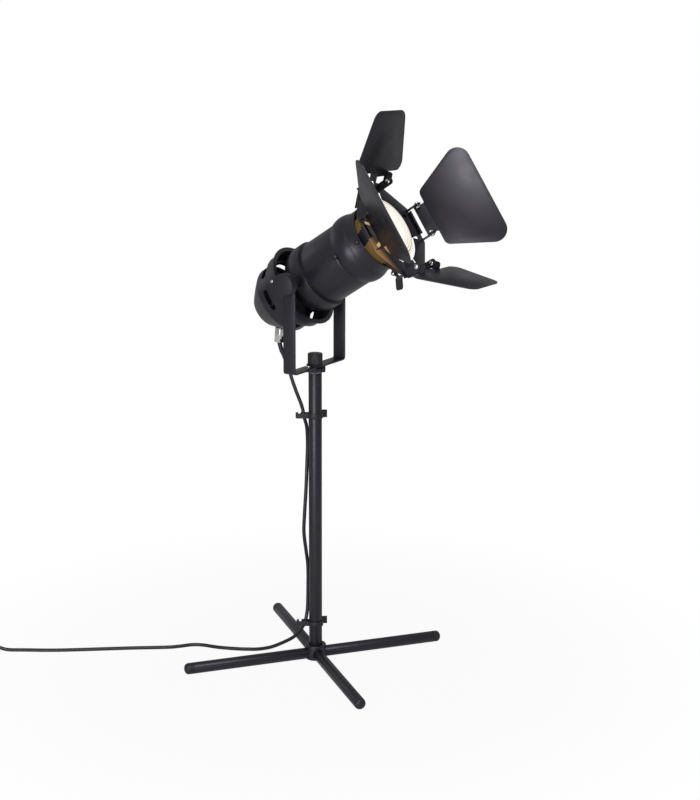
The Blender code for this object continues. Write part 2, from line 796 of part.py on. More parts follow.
def build_lead():
    skin = finish("lead_sheath", lead_black, 0.55, 0.0)
    route = lead_points()
    for point in route:
        point.z = max(point.z, lead_diameter / 2)
    route[0] = route[0] + (route[1] - route[0]).normalized() * seat_gap
    upper, rest = split_at(route, pole_top - yoke_split_drop)
    turning, run = split_at(rest, pole_top - stand_split_drop)
    radius = lead_diameter / 2
    for name, points in (("lead_upper", upper), ("lead_turn", turning), ("lead_run", run)):
        cable(name, points, [radius] * len(points), 2, skin)
        print(f"{name}: {len(points)} points, {run_length(points):.4f} m")
    coil = coil_points(route[-1])
    cable("lead_coil", coil, [radius] * len(coil), 1, skin)
    print(f"lead_coil: {len(coil)} points, {run_length(coil):.4f} m, least gap to itself "
          f"{least_gap(coil):.5f} m")
    return route[-1], coil[-1]


def coil_points(entry):
    """From the switch into the coil, in on the lower layer, out on the upper one, to the plug."""
    start_x = entry.x + switch_length + seat_gap * 2
    outer = coil_inner_radius + coil_turns_each * coil_pitch
    low = lead_diameter / 2
    centre = Vector((start_x + coil_offset, entry.y + outer, low))
    spots = [(start_x, entry.y, lead_entry_height)]
    spots += [(start_x + coil_offset * along_share, entry.y, lead_entry_height * height_share)
              for along_share, height_share in coil_lead_in_share]
    spots.append((start_x + coil_offset * coil_touch_share, entry.y, low))
    points = smooth_route(spots, lead_spacing)
    turns = coil_turns_each * 2 + coil_climb_turns
    count = round(turns * coil_loop_points)
    for step in range(count + 1):
        turn = turns * step / count
        climbed = min(max((turn - coil_turns_each) / coil_climb_turns, 0.0), 1.0)
        wound = min(turn, coil_turns_each) - max(turn - coil_turns_each - coil_climb_turns, 0.0)
        radius = outer - coil_pitch * wound
        rise = coil_layer * climbed * climbed * (3 - 2 * climbed)
        angle = math.tau * turn - math.pi / 2
        points.append(centre + Vector((radius * math.cos(angle), radius * math.sin(angle), rise)))
    last = points[-1]
    middle = plug_body_height / 2
    tail = smooth_route((last, last - Vector((tail_length * tail_level_share, 0, 0)),
                         last + Vector((-tail_length * tail_rise_share, 0, middle - last.z)),
                         last + Vector((-tail_length, 0, middle - last.z))), lead_spacing)
    return points + tail[1:]


def least_gap(points):
    """Smallest gap between parts of one tube that aren't neighbours along it."""
    apart = round(lead_diameter * 3 / lead_spacing) + 4
    closest = math.inf
    for index, spot in enumerate(points[:-1]):
        ahead = points[index + 1] - spot
        for other in points[:max(index - apart, 0)] + points[index + apart:]:
            share = min(max((other - spot).dot(ahead) / ahead.length_squared, 0.0), 1.0)
            closest = min(closest, (other - spot - ahead * share).length)
    return closest - lead_diameter


def box(length, width, low, high, edge):
    """A box centred on X = 0, Y = 0 with its edges rounded."""
    half_length = length / 2
    half_width = width / 2
    mesh = prism([(-half_length, -half_width), (half_length, -half_width),
                  (half_length, half_width), (-half_length, half_width)], low, high)
    if edge > 0.0:
        bmesh.ops.bevel(mesh, geom=mesh.edges[:], offset=edge, affect="EDGES", segments=2,
                        profile=0.5, material=-1)
    return mesh


def build_switch(start):
    """In-line switch: a hollow housing with a rocker pivoting in its top."""
    middle = start.x + seat_gap + switch_length / 2
    place = lead_frame() @ Matrix.Translation((middle, start.y, 0))
    housing = add_object("switch_housing", box(switch_length, switch_width, 0.0, switch_height,
                                               switch_edge), moulded(), place=place)
    room = box(rocker_length + seat_gap * 4, rocker_width + seat_gap * 2, switch_height - rocker_room,
               switch_height + overrun, 0.0)
    cut(housing, "switch_room_cut", room, place=place)
    half = rocker_length / 2
    pivot = switch_height - rocker_stand
    crest = rocker_stand * 1.5
    outline = [(-half, 0), (half, 0), (half, crest), (0, rocker_stand * 0.75), (-half, crest)]
    keel = [(-half / 2, -rocker_depth + rocker_stand), (half / 2, -rocker_depth + rocker_stand)]
    rocker = prism(keel + outline[1:] + outline[:1], -rocker_width / 2, rocker_width / 2)
    bmesh.ops.rotate(rocker, verts=rocker.verts[:], cent=(0, 0, 0),
                     matrix=Matrix.Rotation(math.pi / 2, 3, "X"))
    add_object("switch_rocker", rocker, moulded(), place=place @ Matrix.Translation((0, 0, pivot))
               @ Matrix.Rotation(rocker_tilt, 4, "Y"))


def build_plug(end):
    """A flat two-pin plug lying on the table beside the coil, its pins back towards the lamp."""
    place = (lead_frame() @ Matrix.Translation((end.x - seat_gap, end.y, 0))
             @ Matrix.Rotation(math.pi, 4, "Z"))
    half = plug_body_width / 2
    nose = plug_nose_width / 2
    waist = plug_body_length * plug_waist_share
    shoulder = plug_body_length * plug_shoulder_share
    turn = nose * plug_round_share
    outline = [(0, -nose, 0), (waist, -nose, 0), (shoulder, -half, turn), (plug_body_length, -half, 0),
               (plug_body_length, half, 0), (shoulder, half, turn), (waist, nose, 0), (0, nose, 0)]
    body = prism(rounded(outline, 3), 0.0, plug_body_height)
    rims = [edge for edge in body.edges if abs(edge.verts[0].co.z - edge.verts[1].co.z) < seat_gap]
    bmesh.ops.bevel(body, geom=rims, offset=plug_pin_diameter / 2, affect="EDGES", segments=2,
                    profile=0.5, material=-1)
    plug = add_object("mains_plug", body, moulded(), place=place)
    for index, side in enumerate((-1, 1)):
        radius = plug_pin_diameter / 2
        pin = rod(radius, -plug_pin_diameter, plug_pin_length, plug_pin_diameter / 5, tiny_steps)
        join(plug, f"plug_pin_{index}", pin, place=place @ along(
            (1, 0, 0), (plug_body_length, side * plug_pin_spacing / 2, plug_body_height / 2)))


def build_cable_clips():
    """Sprung bands round the pole, each with a loop for the lead and a wing to open it by."""
    inner = pole_diameter / 2 + seat_gap
    outer = inner + band_sheet
    half = band_height / 2
    for name, height in (("cable_clip_upper", pole_top - upper_clip_drop),
                         ("cable_clip_lower", lower_clip_height)):
        place = lead_frame() @ Matrix.Translation((0, 0, height))
        clip = add_object(name, tube(outer, inner, -half, half, small_steps), moulded(), place=place)
        loop_corners = [(inner, -loop_half, 0), (loop_reach, -loop_half, loop_half * 0.8),
                        (loop_reach, loop_half, loop_half * 0.8), (inner, loop_half, 0)]
        join(clip, f"{name}_loop", prism(rounded(loop_corners), -half, half), place=place)
        wing = prism([(-inner * 0.2, -outer + band_sheet), (-inner * 0.2, -outer - band_sheet * 0.2),
                      (-wing_reach, -outer - band_sheet * 1.2), (-wing_reach, -outer)],
                     -wing_height / 2, wing_height / 2)
        join(clip, f"{name}_wing", wing, place=place)
        hole_half = loop_half - band_sheet
        hole_corners = [(outer, -hole_half, 0), (loop_reach - band_sheet, -hole_half, hole_half * 0.8),
                        (loop_reach - band_sheet, hole_half, hole_half * 0.8), (outer, hole_half, 0)]
        hole = prism(rounded(hole_corners), -half - overrun, half + overrun)
        cut(clip, f"{name}_hole", hole, place=place)
        mouth_low = -loop_half - overrun
        mouth_high = -hole_half + seat_gap
        mouth = [(loop_reach - loop_mouth * 2, mouth_low), (loop_reach - loop_mouth, mouth_low),
                 (loop_reach - loop_mouth, mouth_high), (loop_reach - loop_mouth * 2, mouth_high)]
        cut(clip, f"{name}_mouth", prism(mouth, -half - overrun, half + overrun), place=place)
        cut(clip, f"{name}_bore", rod(inner, -half - overrun, half + overrun), place=place)


def build_lamp(head):
    wall = holder_wall
    cap_back = reflector_back - screw_cap_length
    holder_front = reflector_back - seat_gap * 4
    cup = screw_cap_radius + seat_gap
    floor = cap_back - contact_length - seat_gap
    profile = [(0, holder_back), (holder_radius, holder_back), (holder_radius, holder_front),
               (cup, holder_front), (cup, floor), (0, floor)]
    add_object("lamp_holder", spun(profile, small_steps), moulded(), head)
    nipple = tube(nipple_diameter / 2, nipple_diameter / 2 - wall / 2, housing_back + shell_wall * 2,
                  holder_back - seat_gap, tiny_steps)
    add_object("holder_nipple", nipple, plated(), head)
    profile = [(0, cap_back - contact_length), (contact_radius, cap_back - contact_length),
               (screw_cap_radius - contact_length, cap_back), (screw_cap_radius, cap_back + contact_length),
               (screw_cap_radius, reflector_back - seat_gap), (0, reflector_back - seat_gap)]
    add_object("lamp_screw_cap", spun(profile, small_steps), finish("lamp_brass", brass_tone, 0.3, 1.0),
               head)
    rear = lens_front - lens_edge - lens_crown
    bowl = [(reflector_neck, reflector_back)]
    for step in range(1, 7):
        share = step / 6
        bowl.append((reflector_neck + (bowl_radius - reflector_neck) * math.sqrt(share),
                     reflector_back + (rear - reflector_back) * share))
    add_object("lamp_reflector", spun(shell(bowl, shell_wall), round_steps, closed=True),
               finish("lamp_bulb", lamp_glass, 0.2, 0.0), head)
    low = rear + seat_gap
    profile = [(0, low), (lens_radius, low), (lens_radius, low + lens_edge)]
    for step in range(1, 5):
        share = step / 5
        profile.append((lens_radius * math.cos(share * math.pi / 2),
                        low + lens_edge + lens_crown * math.sin(share * math.pi / 2)))
    profile.append((0, low + lens_edge + lens_crown))
    add_object("lamp_lens", spun(profile, round_steps), finish("lamp_face", lamp_glass, 0.1, 0.0), head)


# Holder clips, plate and hinges

def side_frame(angle):
    """On the head: X outwards to one side of the plate, Y along its hinge, Z towards the light."""
    return Matrix.Translation((0, -plate_drop, 0)) @ Matrix.Rotation(angle, 4, "Z")


def strip(path, sheet, low, high):
    """A bent sheet: a path of (x, z) points given a thickness and a width along Y."""
    half = sheet / 2
    left = []
    right = []
    for index, (x, z) in enumerate(path):
        here = Vector((x, z))
        runs = []
        if index > 0:
            runs.append((here - Vector(path[index - 1])).normalized())
        if index < len(path) - 1:
            runs.append((Vector(path[index + 1]) - here).normalized())
        mean = sum(runs, Vector((0, 0))).normalized()
        reach = half / max(mean.dot(runs[0]), 0.5)
        normal = Vector((-mean.y, mean.x)) * reach
        left.append(tuple(here + normal))
        right.append(tuple(here - normal))
    mesh = prism(left + right[::-1], -high, -low)
    bmesh.ops.rotate(mesh, verts=mesh.verts[:], cent=(0, 0, 0), matrix=Matrix.Rotation(math.pi / 2, 3, "X"))
    return mesh


def clip_path(drop, width):
    """From inside the can's rim out to the plate's edge and round it, for one side of the head."""
    bore = tube_radius - groove_depth / 2 - shell_wall - seat_gap
    inside = math.sqrt(bore ** 2 - (width / 2) ** 2) - clip_sheet / 2
    half = clip_sheet / 2
    behind = plate_station - plate_sheet / 2 - seat_gap - half
    edge = plate_half + drop + seat_gap + half
    front = plate_station + plate_sheet / 2 + clip_room + half
    return [(inside, clip_root), (inside, can_front + clip_sheet), (edge - clip_lip, behind), (edge, behind),
            (edge, front), (edge - clip_lip, front)]


def build_clips(head):
    for name, angle, width in (("far", 0.0, far_clip_width), ("top", math.pi / 2, wide_clip_width),
                               ("near", math.pi, clip_width), ("bottom", -math.pi / 2, wide_clip_width)):
        drop = -plate_drop * math.sin(angle)
        place = Matrix.Rotation(angle, 4, "Z")
        band = strip(clip_path(drop, width), clip_sheet, -width / 2, width / 2)
        clip = add_object(f"holder_clip_{name}", band, painted(), head, place)
        if width == wide_clip_width:
            root, tip, edge = (Vector(spot) for spot in clip_path(drop, width)[1:4])
            start = root.lerp(tip, clip_flare_start_share)
            end = tip.lerp(edge, clip_flare_end_share)
            join(clip, f"holder_clip_{name}_flare",
                 strip([tuple(start), tuple(tip), tuple(end)], clip_sheet * clip_flare_sheet_share,
                       -clip_flare_half, clip_flare_half), head, place)
    return clip


def build_latch(head, bottom_clip):
    """A latch on a pin between two cheeks of the bottom clip; its finger tab hangs below."""
    place = Matrix.Rotation(-math.pi / 2, 4, "Z")
    pivot_x, pivot_z = latch_pivot
    latch = add_object("latch", strip(latch_path, latch_sheet, -latch_half, latch_half), painted(), head,
                       place)
    foot_x, foot_z = latch_path[1]
    lug = latch_lug
    for index, side in enumerate((-1, 1)):
        inset = latch_sheet / 5
        cheek = prism([(pivot_x - lug, pivot_z - lug), (pivot_x - lug, pivot_z + lug),
                       (foot_x + inset, foot_z + lug / 2), (foot_x + inset * 3, foot_z - lug)],
                      latch_half - latch_sheet - inset, latch_half - inset)
        bmesh.ops.rotate(cheek, verts=cheek.verts[:], cent=(0, 0, 0),
                         matrix=Matrix.Rotation(math.pi / 2, 3, "X"))
        bmesh.ops.scale(cheek, verts=cheek.verts[:], vec=(1, -side, 1))
        join(latch, f"latch_lug_{index}", cheek, head, place)
    half_pin = latch_cheek + latch_sheet * 2
    pin = rod(latch_pin_diameter / 2, -half_pin, half_pin, steps=tiny_steps)
    join(latch, "latch_pin", pin, head, place @ along((0, 1, 0), (pivot_x, 0, pivot_z)))
    root_x, root_z = clip_path(plate_drop, wide_clip_width)[1]
    tip_x, tip_z = clip_path(plate_drop, wide_clip_width)[2]
    run = Vector((tip_x - root_x, tip_z - root_z)).normalized()
    near = Vector((root_x, root_z)) + run * (Vector(latch_pivot) - Vector((root_x, root_z))).dot(run)
    out = (Vector(latch_pivot) - near).normalized()
    for index, side in enumerate((-1, 1)):
        centre = Vector(latch_pivot)
        corners = [near - run * lug, near + run * lug, centre + run * lug + out * lug * 0.6,
                   centre + out * lug, centre - run * lug + out * lug * 0.6]
        cheek = prism([tuple(corner) for corner in corners], latch_cheek, latch_cheek + latch_sheet)
        bmesh.ops.rotate(cheek, verts=cheek.verts[:], cent=(0, 0, 0),
                         matrix=Matrix.Rotation(math.pi / 2, 3, "X"))
        bmesh.ops.scale(cheek, verts=cheek.verts[:], vec=(1, -side, 1))
        join(bottom_clip, f"clip_cheek_{index}", cheek, head, place)
    hole = rod(latch_pin_diameter / 2 + seat_gap, -clip_width, clip_width, steps=tiny_steps)
    cut(bottom_clip, "clip_pin_cut", hole, head, place @ along((0, 1, 0), (pivot_x, 0, pivot_z)))


def build_plate(head):
    """Eight-sided plate with a round opening, notches round it and two ears to each door."""
    corners = []
    for turn in range(4):
        swing = math.pi / 2 * turn
        for y in (-plate_hinge_half, plate_hinge_half):
            corners.append((plate_half * math.cos(swing) - y * math.sin(swing),
                            plate_half * math.sin(swing) + y * math.cos(swing), plate_corner))
    low = plate_station - plate_sheet / 2
    high = plate_station + plate_sheet / 2
    plate = add_object("barn_door_plate", prism(rounded(corners, 1), low, high), painted(), head,
                       side_frame(0.0))
    opening = rod(plate_hole, low - overrun, high + overrun, steps=round_steps)
    cut(plate, "opening_cut", opening, head, side_frame(0.0))
    for turn in range(4):
        for name, lean in (("a", -notch_angle), ("b", notch_angle)):
            notch = prism([(plate_hole - overrun, -notch_width / 2), (notch_reach, -notch_width / 2),
                           (notch_reach, notch_width / 2), (plate_hole - overrun, notch_width / 2)],
                          low - overrun, high + overrun)
            cut(plate, f"notch_cut_{turn}{name}", notch, head, side_frame(math.pi / 2 * turn + lean))
    for turn in range(4):
        for name, place in (("a", -ear_place), ("b", ear_place)):
            join_ear(plate, f"ear_{turn}{name}", turn, place, low, head)


def join_ear(plate, name, turn, place, low, head):
    """Add one upright ear, with its screw hole, to the plate."""
    half = ear_width / 2
    top = plate_station + hinge_stand
    corners = [(hinge_reach - half, low, 0), (hinge_reach + half, low, 0),
               (hinge_reach + half, top + half, half * 0.9), (hinge_reach - half, top + half, half * 0.9)]
    ear = prism(rounded(corners), -ear_sheet / 2, ear_sheet / 2)
    bmesh.ops.rotate(ear, verts=ear.verts[:], cent=(0, 0, 0), matrix=Matrix.Rotation(math.pi / 2, 3, "X"))
    bmesh.ops.translate(ear, verts=ear.verts[:], vec=(0, place, 0))
    join(plate, name, ear, head, side_frame(math.pi / 2 * turn))
    hole = rod(hinge_screw_diameter / 2 + seat_gap, -ear_sheet * 2, ear_sheet * 2, steps=tiny_steps)
    spot = along((0, 1, 0), (hinge_reach, place, top))
    cut(plate, f"{name}_hole", hole, head, side_frame(math.pi / 2 * turn) @ spot)


def build_hinge_screws(head):
    """Each screw passes through one ear of the plate and one tab of the door."""
    stack = ear_sheet / 2 + seat_gap + door_sheet
    for turn, name in ((0, "far"), (1, "top"), (2, "near"), (3, "bottom")):
        for index, side in ((1, -1), (2, 1)):
            shaft = hinge_screw_diameter / 2
            head_radius = hinge_head_diameter / 2
            low = -ear_sheet / 2 - seat_gap - hinge_head_height
            profile = [(0, low), (head_radius, low), (head_radius, low + hinge_head_height),
                       (shaft, low + hinge_head_height), (shaft, stack + seat_gap),
                       (head_radius, stack + seat_gap), (head_radius, stack + seat_gap + hinge_head_height),
                       (0, stack + seat_gap + hinge_head_height)]
            place = side_frame(math.pi / 2 * turn) @ along(
                (0, -side, 0), (hinge_reach, side * ear_place, plate_station + hinge_stand))
            add_object(f"hinge_screw_{name}_{index}", spun(profile, tiny_steps), plated(), head, place)


# Barn doors

def leaf_outline(root, reach, half, shoulder, shift, corner, shoulder_round, neck_end, notch=()):
    """A leaf's outline as (along the hinge, away from the hinge), neck first."""
    right = [(door_neck, neck_end, 0), (door_neck, root, neck_round),
             (shoulder + shift, root, shoulder_round), (half + shift, reach, corner)]
    left = [(shift - half, reach, corner), (shift - shoulder, root, shoulder_round),
            (-door_neck, root, neck_round), (-door_neck, neck_end, 0)]
    return rounded(right + left + list(notch), 5)


def wide_outline(shoulder, neck_end):
    return leaf_outline(wide_door_root, wide_door_reach, wide_door_half, shoulder, wide_door_shift,
                        wide_door_corner, wide_door_shoulder_round, neck_end)


def narrow_outline(shift):
    inner = door_neck - neck_leg
    notch = ((-inner, door_neck_end, 0), (-inner, narrow_door_notch, 0), (inner, narrow_door_notch, 0),
             (inner, door_neck_end, 0))
    return leaf_outline(narrow_door_root, narrow_door_reach, narrow_door_half, narrow_door_shoulder,
                        shift, narrow_door_corner, narrow_door_shoulder_round, door_neck_end, notch)


def build_door(name, turn, angle, outline, tab_reach, head):
    """A flat leaf whose neck has two tabs bent back to the hinge screws."""
    leaf = prism(outline, door_offset - door_sheet / 2, door_offset + door_sheet / 2)
    # The outline lies in (Y, Z), the thickness along X
    bmesh.ops.transform(leaf, verts=leaf.verts[:],
                        matrix=Matrix(((0, 0, 1, 0), (1, 0, 0, 0), (0, 1, 0, 0), (0, 0, 0, 1))))
    hinge = add_empty(f"{name}_hinge", head, side_frame(math.pi / 2 * turn)
                      @ Matrix.Translation((hinge_reach, 0, plate_station + hinge_stand))
                      @ Matrix.Rotation(angle, 4, "Y"))
    door = add_object(name, leaf, painted(), hinge)
    half = door_tab / 2
    for index, side in enumerate((-1, 1)):
        corners = [(-half, -half, half * 0.8), (door_offset, -half, 0), (door_offset, tab_reach, 0),
                   (-half, tab_reach, half * 0.8)]
        tab = prism(rounded(corners), door_neck - door_sheet, door_neck)
        bmesh.ops.rotate(tab, verts=tab.verts[:], cent=(0, 0, 0),
                         matrix=Matrix.Rotation(math.pi / 2, 3, "X"))
        bmesh.ops.scale(tab, verts=tab.verts[:], vec=(1, -side, 1))
        join(door, f"{name}_tab_{index}", tab, hinge)
        hole = rod(hinge_screw_diameter / 2 + seat_gap, -door_sheet * 3, door_sheet * 3, steps=tiny_steps)
        cut(door, f"{name}_tab_hole_{index}", hole, hinge, along((0, 1, 0), (0, side * door_neck, 0)))


def build_doors(head):
    half = door_tab / 2
    build_door("door_far", 0, far_door_angle, wide_outline(wide_door_shoulder, door_neck_end), half, head)
    build_door("door_top", 1, top_door_angle, narrow_outline(top_door_shift), narrow_tab_reach, head)
    build_door("door_near", 2, near_door_angle, wide_outline(near_door_shoulder, near_door_neck_end),
               half, head)
    build_door("door_bottom", 3, bottom_door_angle, narrow_outline(bottom_door_shift), narrow_tab_reach, head)


def main():
    clear_scene()
    build_base()
    build_pole()
    build_yoke()
    head = add_empty("head_frame", place=Matrix.Translation((0, 0, pivot_height))
                     @ Matrix.Rotation(math.pi / 2 - head_tilt, 4, "X"))
    build_pivots(head)
    build_can(head)
    build_housing(head)
    build_gland(head)
    build_lamp(head)
    build_latch(head, build_clips(head))
    build_plate(head)
    build_hinge_screws(head)
    build_doors(head)
    build_cable_clips()
    build_boot()
    switch_start, lead_end = build_lead()
    build_switch(switch_start)
    build_plug(lead_end)


main()
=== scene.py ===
"""Spotlight table lamp: a black can head with four barn doors on a pole with a cross base.

Metres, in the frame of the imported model. The head's own frame has Z along the can towards the
light, X towards the far pivot and Y upwards; the lead's frame has X towards the side where the
lead lies and Y towards the viewer.
"""
import math

import bmesh
import bpy
from mathutils import Matrix, Vector


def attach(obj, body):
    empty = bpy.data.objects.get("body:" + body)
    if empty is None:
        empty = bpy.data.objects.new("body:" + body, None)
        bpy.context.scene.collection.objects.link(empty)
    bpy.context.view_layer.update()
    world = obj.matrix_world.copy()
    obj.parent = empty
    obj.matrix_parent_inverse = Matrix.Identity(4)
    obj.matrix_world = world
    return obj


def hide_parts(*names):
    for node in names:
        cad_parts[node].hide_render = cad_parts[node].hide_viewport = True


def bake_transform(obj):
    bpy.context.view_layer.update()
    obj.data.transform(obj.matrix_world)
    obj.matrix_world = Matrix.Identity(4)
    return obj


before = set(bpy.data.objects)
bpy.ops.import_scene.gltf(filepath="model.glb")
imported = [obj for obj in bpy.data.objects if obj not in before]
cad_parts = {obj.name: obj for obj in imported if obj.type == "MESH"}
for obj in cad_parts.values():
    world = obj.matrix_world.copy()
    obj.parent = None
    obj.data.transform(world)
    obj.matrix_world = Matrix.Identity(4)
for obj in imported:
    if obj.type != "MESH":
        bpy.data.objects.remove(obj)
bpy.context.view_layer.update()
studio = bpy.context.scene

# Running clearance between pieces that touch
gap = 0.0003

# Where the head, the lead and the photograph stand to the part
pivot_height = 0.4739
head_tilt = math.radians(32.65)
HEAD = Matrix.Translation((0, 0, pivot_height)) @ Matrix.Rotation(math.pi / 2 - head_tilt, 4, "X")
LEAD = Matrix.Rotation(math.radians(121.77), 4, "Z")
SEEN = Matrix.Rotation(math.radians(-58.23), 4, "Z")
ON_EDGE = Matrix.Rotation(math.pi / 2, 4, "X")


# Camera

def set_camera():
    """The photograph's viewpoint: level with the head, a little over a metre and a half away."""
    yaw, pitch, roll = (math.radians(turn) for turn in (1.39, 12.90, 0.21))
    ahead = Vector((math.sin(yaw) * math.cos(pitch), math.cos(yaw) * math.cos(pitch), -math.sin(pitch)))
    level = Vector((math.cos(yaw), -math.sin(yaw), 0))
    upright = level.cross(ahead)
    right = level * math.cos(roll) + upright * math.sin(roll)
    above = upright * math.cos(roll) - level * math.sin(roll)
    turn = Matrix((right, above, -ahead)).transposed().to_4x4()
    lens = bpy.data.cameras.new("camera")
    lens.sensor_fit = "HORIZONTAL"
    lens.sensor_width = 36.0
    lens.lens = 1492 / 700 * lens.sensor_width
    lens.shift_x = -0.0007
    lens.shift_y = 0.0007
    view = bpy.data.objects.new("camera", lens)
    view.matrix_world = SEEN @ Matrix.Translation((0, -1.735, 0.724)) @ turn
    studio.collection.objects.link(view)
    studio.camera = view


# Finishes

def dress(tree, made, inputs):
    """Give a node's inputs plain values, or link other nodes' outputs to them."""
    for name, value in inputs.items():
        if isinstance(value, bpy.types.NodeSocket):
            tree.links.new(value, made.inputs[name])
        else:
            made.inputs[name].default_value = value
    return made


def node(tree, kind, inputs, **settings):
    made = tree.nodes.new("ShaderNode" + kind)
    for name, value in settings.items():
        setattr(made, name, value)
    return dress(tree, made, inputs)


def math_node(tree, operation, *values):
    return node(tree, "Math", dict(enumerate(values)), operation=operation).outputs[0]


def ramp(tree, value, low, high, ends=(0.0, 1.0), smooth=False):
    """How far a value is from low to high, from one end value to the other."""
    return node(tree, "MapRange", {"Value": value, "From Min": low, "From Max": high, "To Min": ends[0],
                                   "To Max": ends[1]},
                interpolation_type="SMOOTHSTEP" if smooth else "LINEAR").outputs["Result"]


def between(tree, share, first, second):
    """A colour on the way from one to another."""
    return node(tree, "Mix", {"Factor": share, "A": first, "B": second}, data_type="RGBA").outputs["Result"]


def bumped(tree, height, depth):
    return node(tree, "Bump", {"Height": height, "Distance": depth}).outputs["Normal"]


def noise(tree, **inputs):
    spot = node(tree, "TexCoord", {}).outputs["Object"]
    return node(tree, "TexNoise", {"Vector": spot, **inputs}).outputs["Fac"]


def make_grain():
    """Fine orange-peel of a sprayed or moulded skin, with a slow drift of tone and sheen."""
    tree = bpy.data.node_groups.new("skin grain", "ShaderNodeTree")
    for label, kind, value in (("Dark", "Color", (0.01, 0.01, 0.01, 1)),
                               ("Light", "Color", (0.03, 0.03, 0.03, 1)),
                               ("Grain per metre", "Float", 1400.0), ("Depth", "Float", 0.00003),
                               ("Sheen low", "Float", 0.38), ("Sheen high", "Float", 0.50)):
        socket = tree.interface.new_socket(name=label, in_out="INPUT", socket_type="NodeSocket" + kind)
        socket.default_value = value
    for label, kind in (("Colour", "Color"), ("Roughness", "Float"), ("Normal", "Vector")):
        tree.interface.new_socket(name=label, in_out="OUTPUT", socket_type="NodeSocket" + kind)
    given = tree.nodes.new("NodeGroupInput").outputs
    fine = noise(tree, Scale=given["Grain per metre"], Detail=3.0)
    slow = noise(tree, Scale=45.0, Detail=4.0)
    tone = math_node(tree, "ADD", math_node(tree, "MULTIPLY", slow, 0.7),
                     math_node(tree, "MULTIPLY", fine, 0.3))
    dress(tree, tree.nodes.new("NodeGroupOutput"), {
        "Colour": between(tree, tone, given["Dark"], given["Light"]),
        "Roughness": ramp(tree, slow, 0.3, 0.7, (given["Sheen low"], given["Sheen high"])),
        "Normal": bumped(tree, fine, given["Depth"])})
    return tree


def blank_finish(name, slot):
    made = bpy.data.materials.new(name)
    made.use_nodes = True
    made["slot"] = slot
    return made, made.node_tree, made.node_tree.nodes["Principled BSDF"]


def skin(name, slot, grain, dark, light, per_metre, depth, sheen, specular=0.5, metallic=0.0,
         tint=(1, 1, 1)):
    """A painted, moulded or plated finish that takes its variation from the skin grain."""
    made, tree, shader = blank_finish(name, slot)
    use = node(tree, "Group", {"Dark": (*dark, 1), "Light": (*light, 1), "Grain per metre": per_metre,
                               "Depth": depth, "Sheen low": sheen[0], "Sheen high": sheen[1]},
               node_tree=grain).outputs
    dress(tree, shader, {"Base Color": use["Colour"], "Roughness": use["Roughness"], "Normal": use["Normal"],
                         "Specular IOR Level": specular, "Specular Tint": (*tint, 1), "Metallic": metallic})
    return made


def head_spot(tree):
    """Object coordinates turned into the head's frame."""
    spot = node(tree, "TexCoord", {}).outputs["Object"]
    return node(tree, "Mapping", {"Vector": spot, "Location": (0, 0, pivot_height),
                                  "Rotation": (math.pi / 2 - head_tilt, 0, 0)},
                vector_type="TEXTURE").outputs["Vector"]


def axis_distance(tree):
    flat = node(tree, "VectorMath", {0: head_spot(tree), 1: (1, 1, 0)}, operation="MULTIPLY").outputs["Vector"]
    return node(tree, "VectorMath", {0: flat}, operation="LENGTH").outputs["Value"]


def station_along(tree):
    return node(tree, "SeparateXYZ", {0: head_spot(tree)}).outputs["Z"]


def lit_glass(name, slot):
    """The lit face of the lamp: white, with warm lines in the ribs towards its edge."""
    made, tree, shader = blank_finish(name, slot)
    radius = axis_distance(tree)
    wave = math_node(tree, "SINE", math_node(tree, "MULTIPLY", radius, math.tau / rib_spacing))
    lines = math_node(tree, "MULTIPLY", ramp(tree, wave, 0.0, 0.9, smooth=True),
                      ramp(tree, radius, lens_radius * 0.55, lens_radius * 0.88))
    share = math_node(tree, "MAXIMUM", lines, ramp(tree, radius, lens_radius * 0.965, lens_radius))
    dress(tree, shader, {"Emission Color": between(tree, share, (1.0, 0.97, 0.89, 1), (0.30, 0.16, 0.05, 1)),
                         "Emission Strength": 0.96, "Base Color": (0.06, 0.05, 0.04, 1), "Roughness": 0.12,
                         "Normal": bumped(tree, wave, 0.0002)})
    return made


def painted_lamp_glow(made):
    """Painted light: a warm glow on the front of a painted piece, below the opening on the near side."""
    tree = made.node_tree
    # Mask of the painted glow: the near side, close to the opening, just ahead of the plate.
    near = node(tree, "VectorMath", {0: head_spot(tree), 1: (-0.93, -0.37, 0)}, operation="DOT_PRODUCT")
    share = math_node(tree, "MULTIPLY", ramp(tree, near.outputs["Value"], 0.043, 0.062, smooth=True),
                      ramp(tree, axis_distance(tree), 0.052, 0.078, (1.0, 0.3), smooth=True))
    station = station_along(tree)
    ahead = math_node(tree, "GREATER_THAN", station, plate_station + plate_sheet * 0.3)
    ahead = math_node(tree, "MULTIPLY", ahead,
                      math_node(tree, "LESS_THAN", station, plate_station + plate_sheet * 2))
    strength = math_node(tree, "MULTIPLY", math_node(tree, "MULTIPLY", share, ahead), 0.55)
    # Painted light: this warm emission paints the lamp's glow onto the black paint.
    dress(tree, tree.nodes["Principled BSDF"], {"Emission Color": (0.60, 0.30, 0.09, 1),
                                                "Emission Strength": strength})
    return made


def warm_metal(name, slot):
    """The lamp's own metallised bowl, glowing where the light comes through it."""
    made, tree, shader = blank_finish(name, slot)
    glow = ramp(tree, station_along(tree), 0.080, 0.116)
    dress(tree, shader, {
        "Emission Color": between(tree, glow, (0.05, 0.03, 0.01, 1), (0.42, 0.26, 0.09, 1)),
        "Emission Strength": 0.5,
        "Base Color": between(tree, noise(tree, Scale=160.0), (0.62, 0.45, 0.20, 1), (0.80, 0.64, 0.34, 1)),
        "Metallic": 1.0, "Roughness": 0.28})
    return made


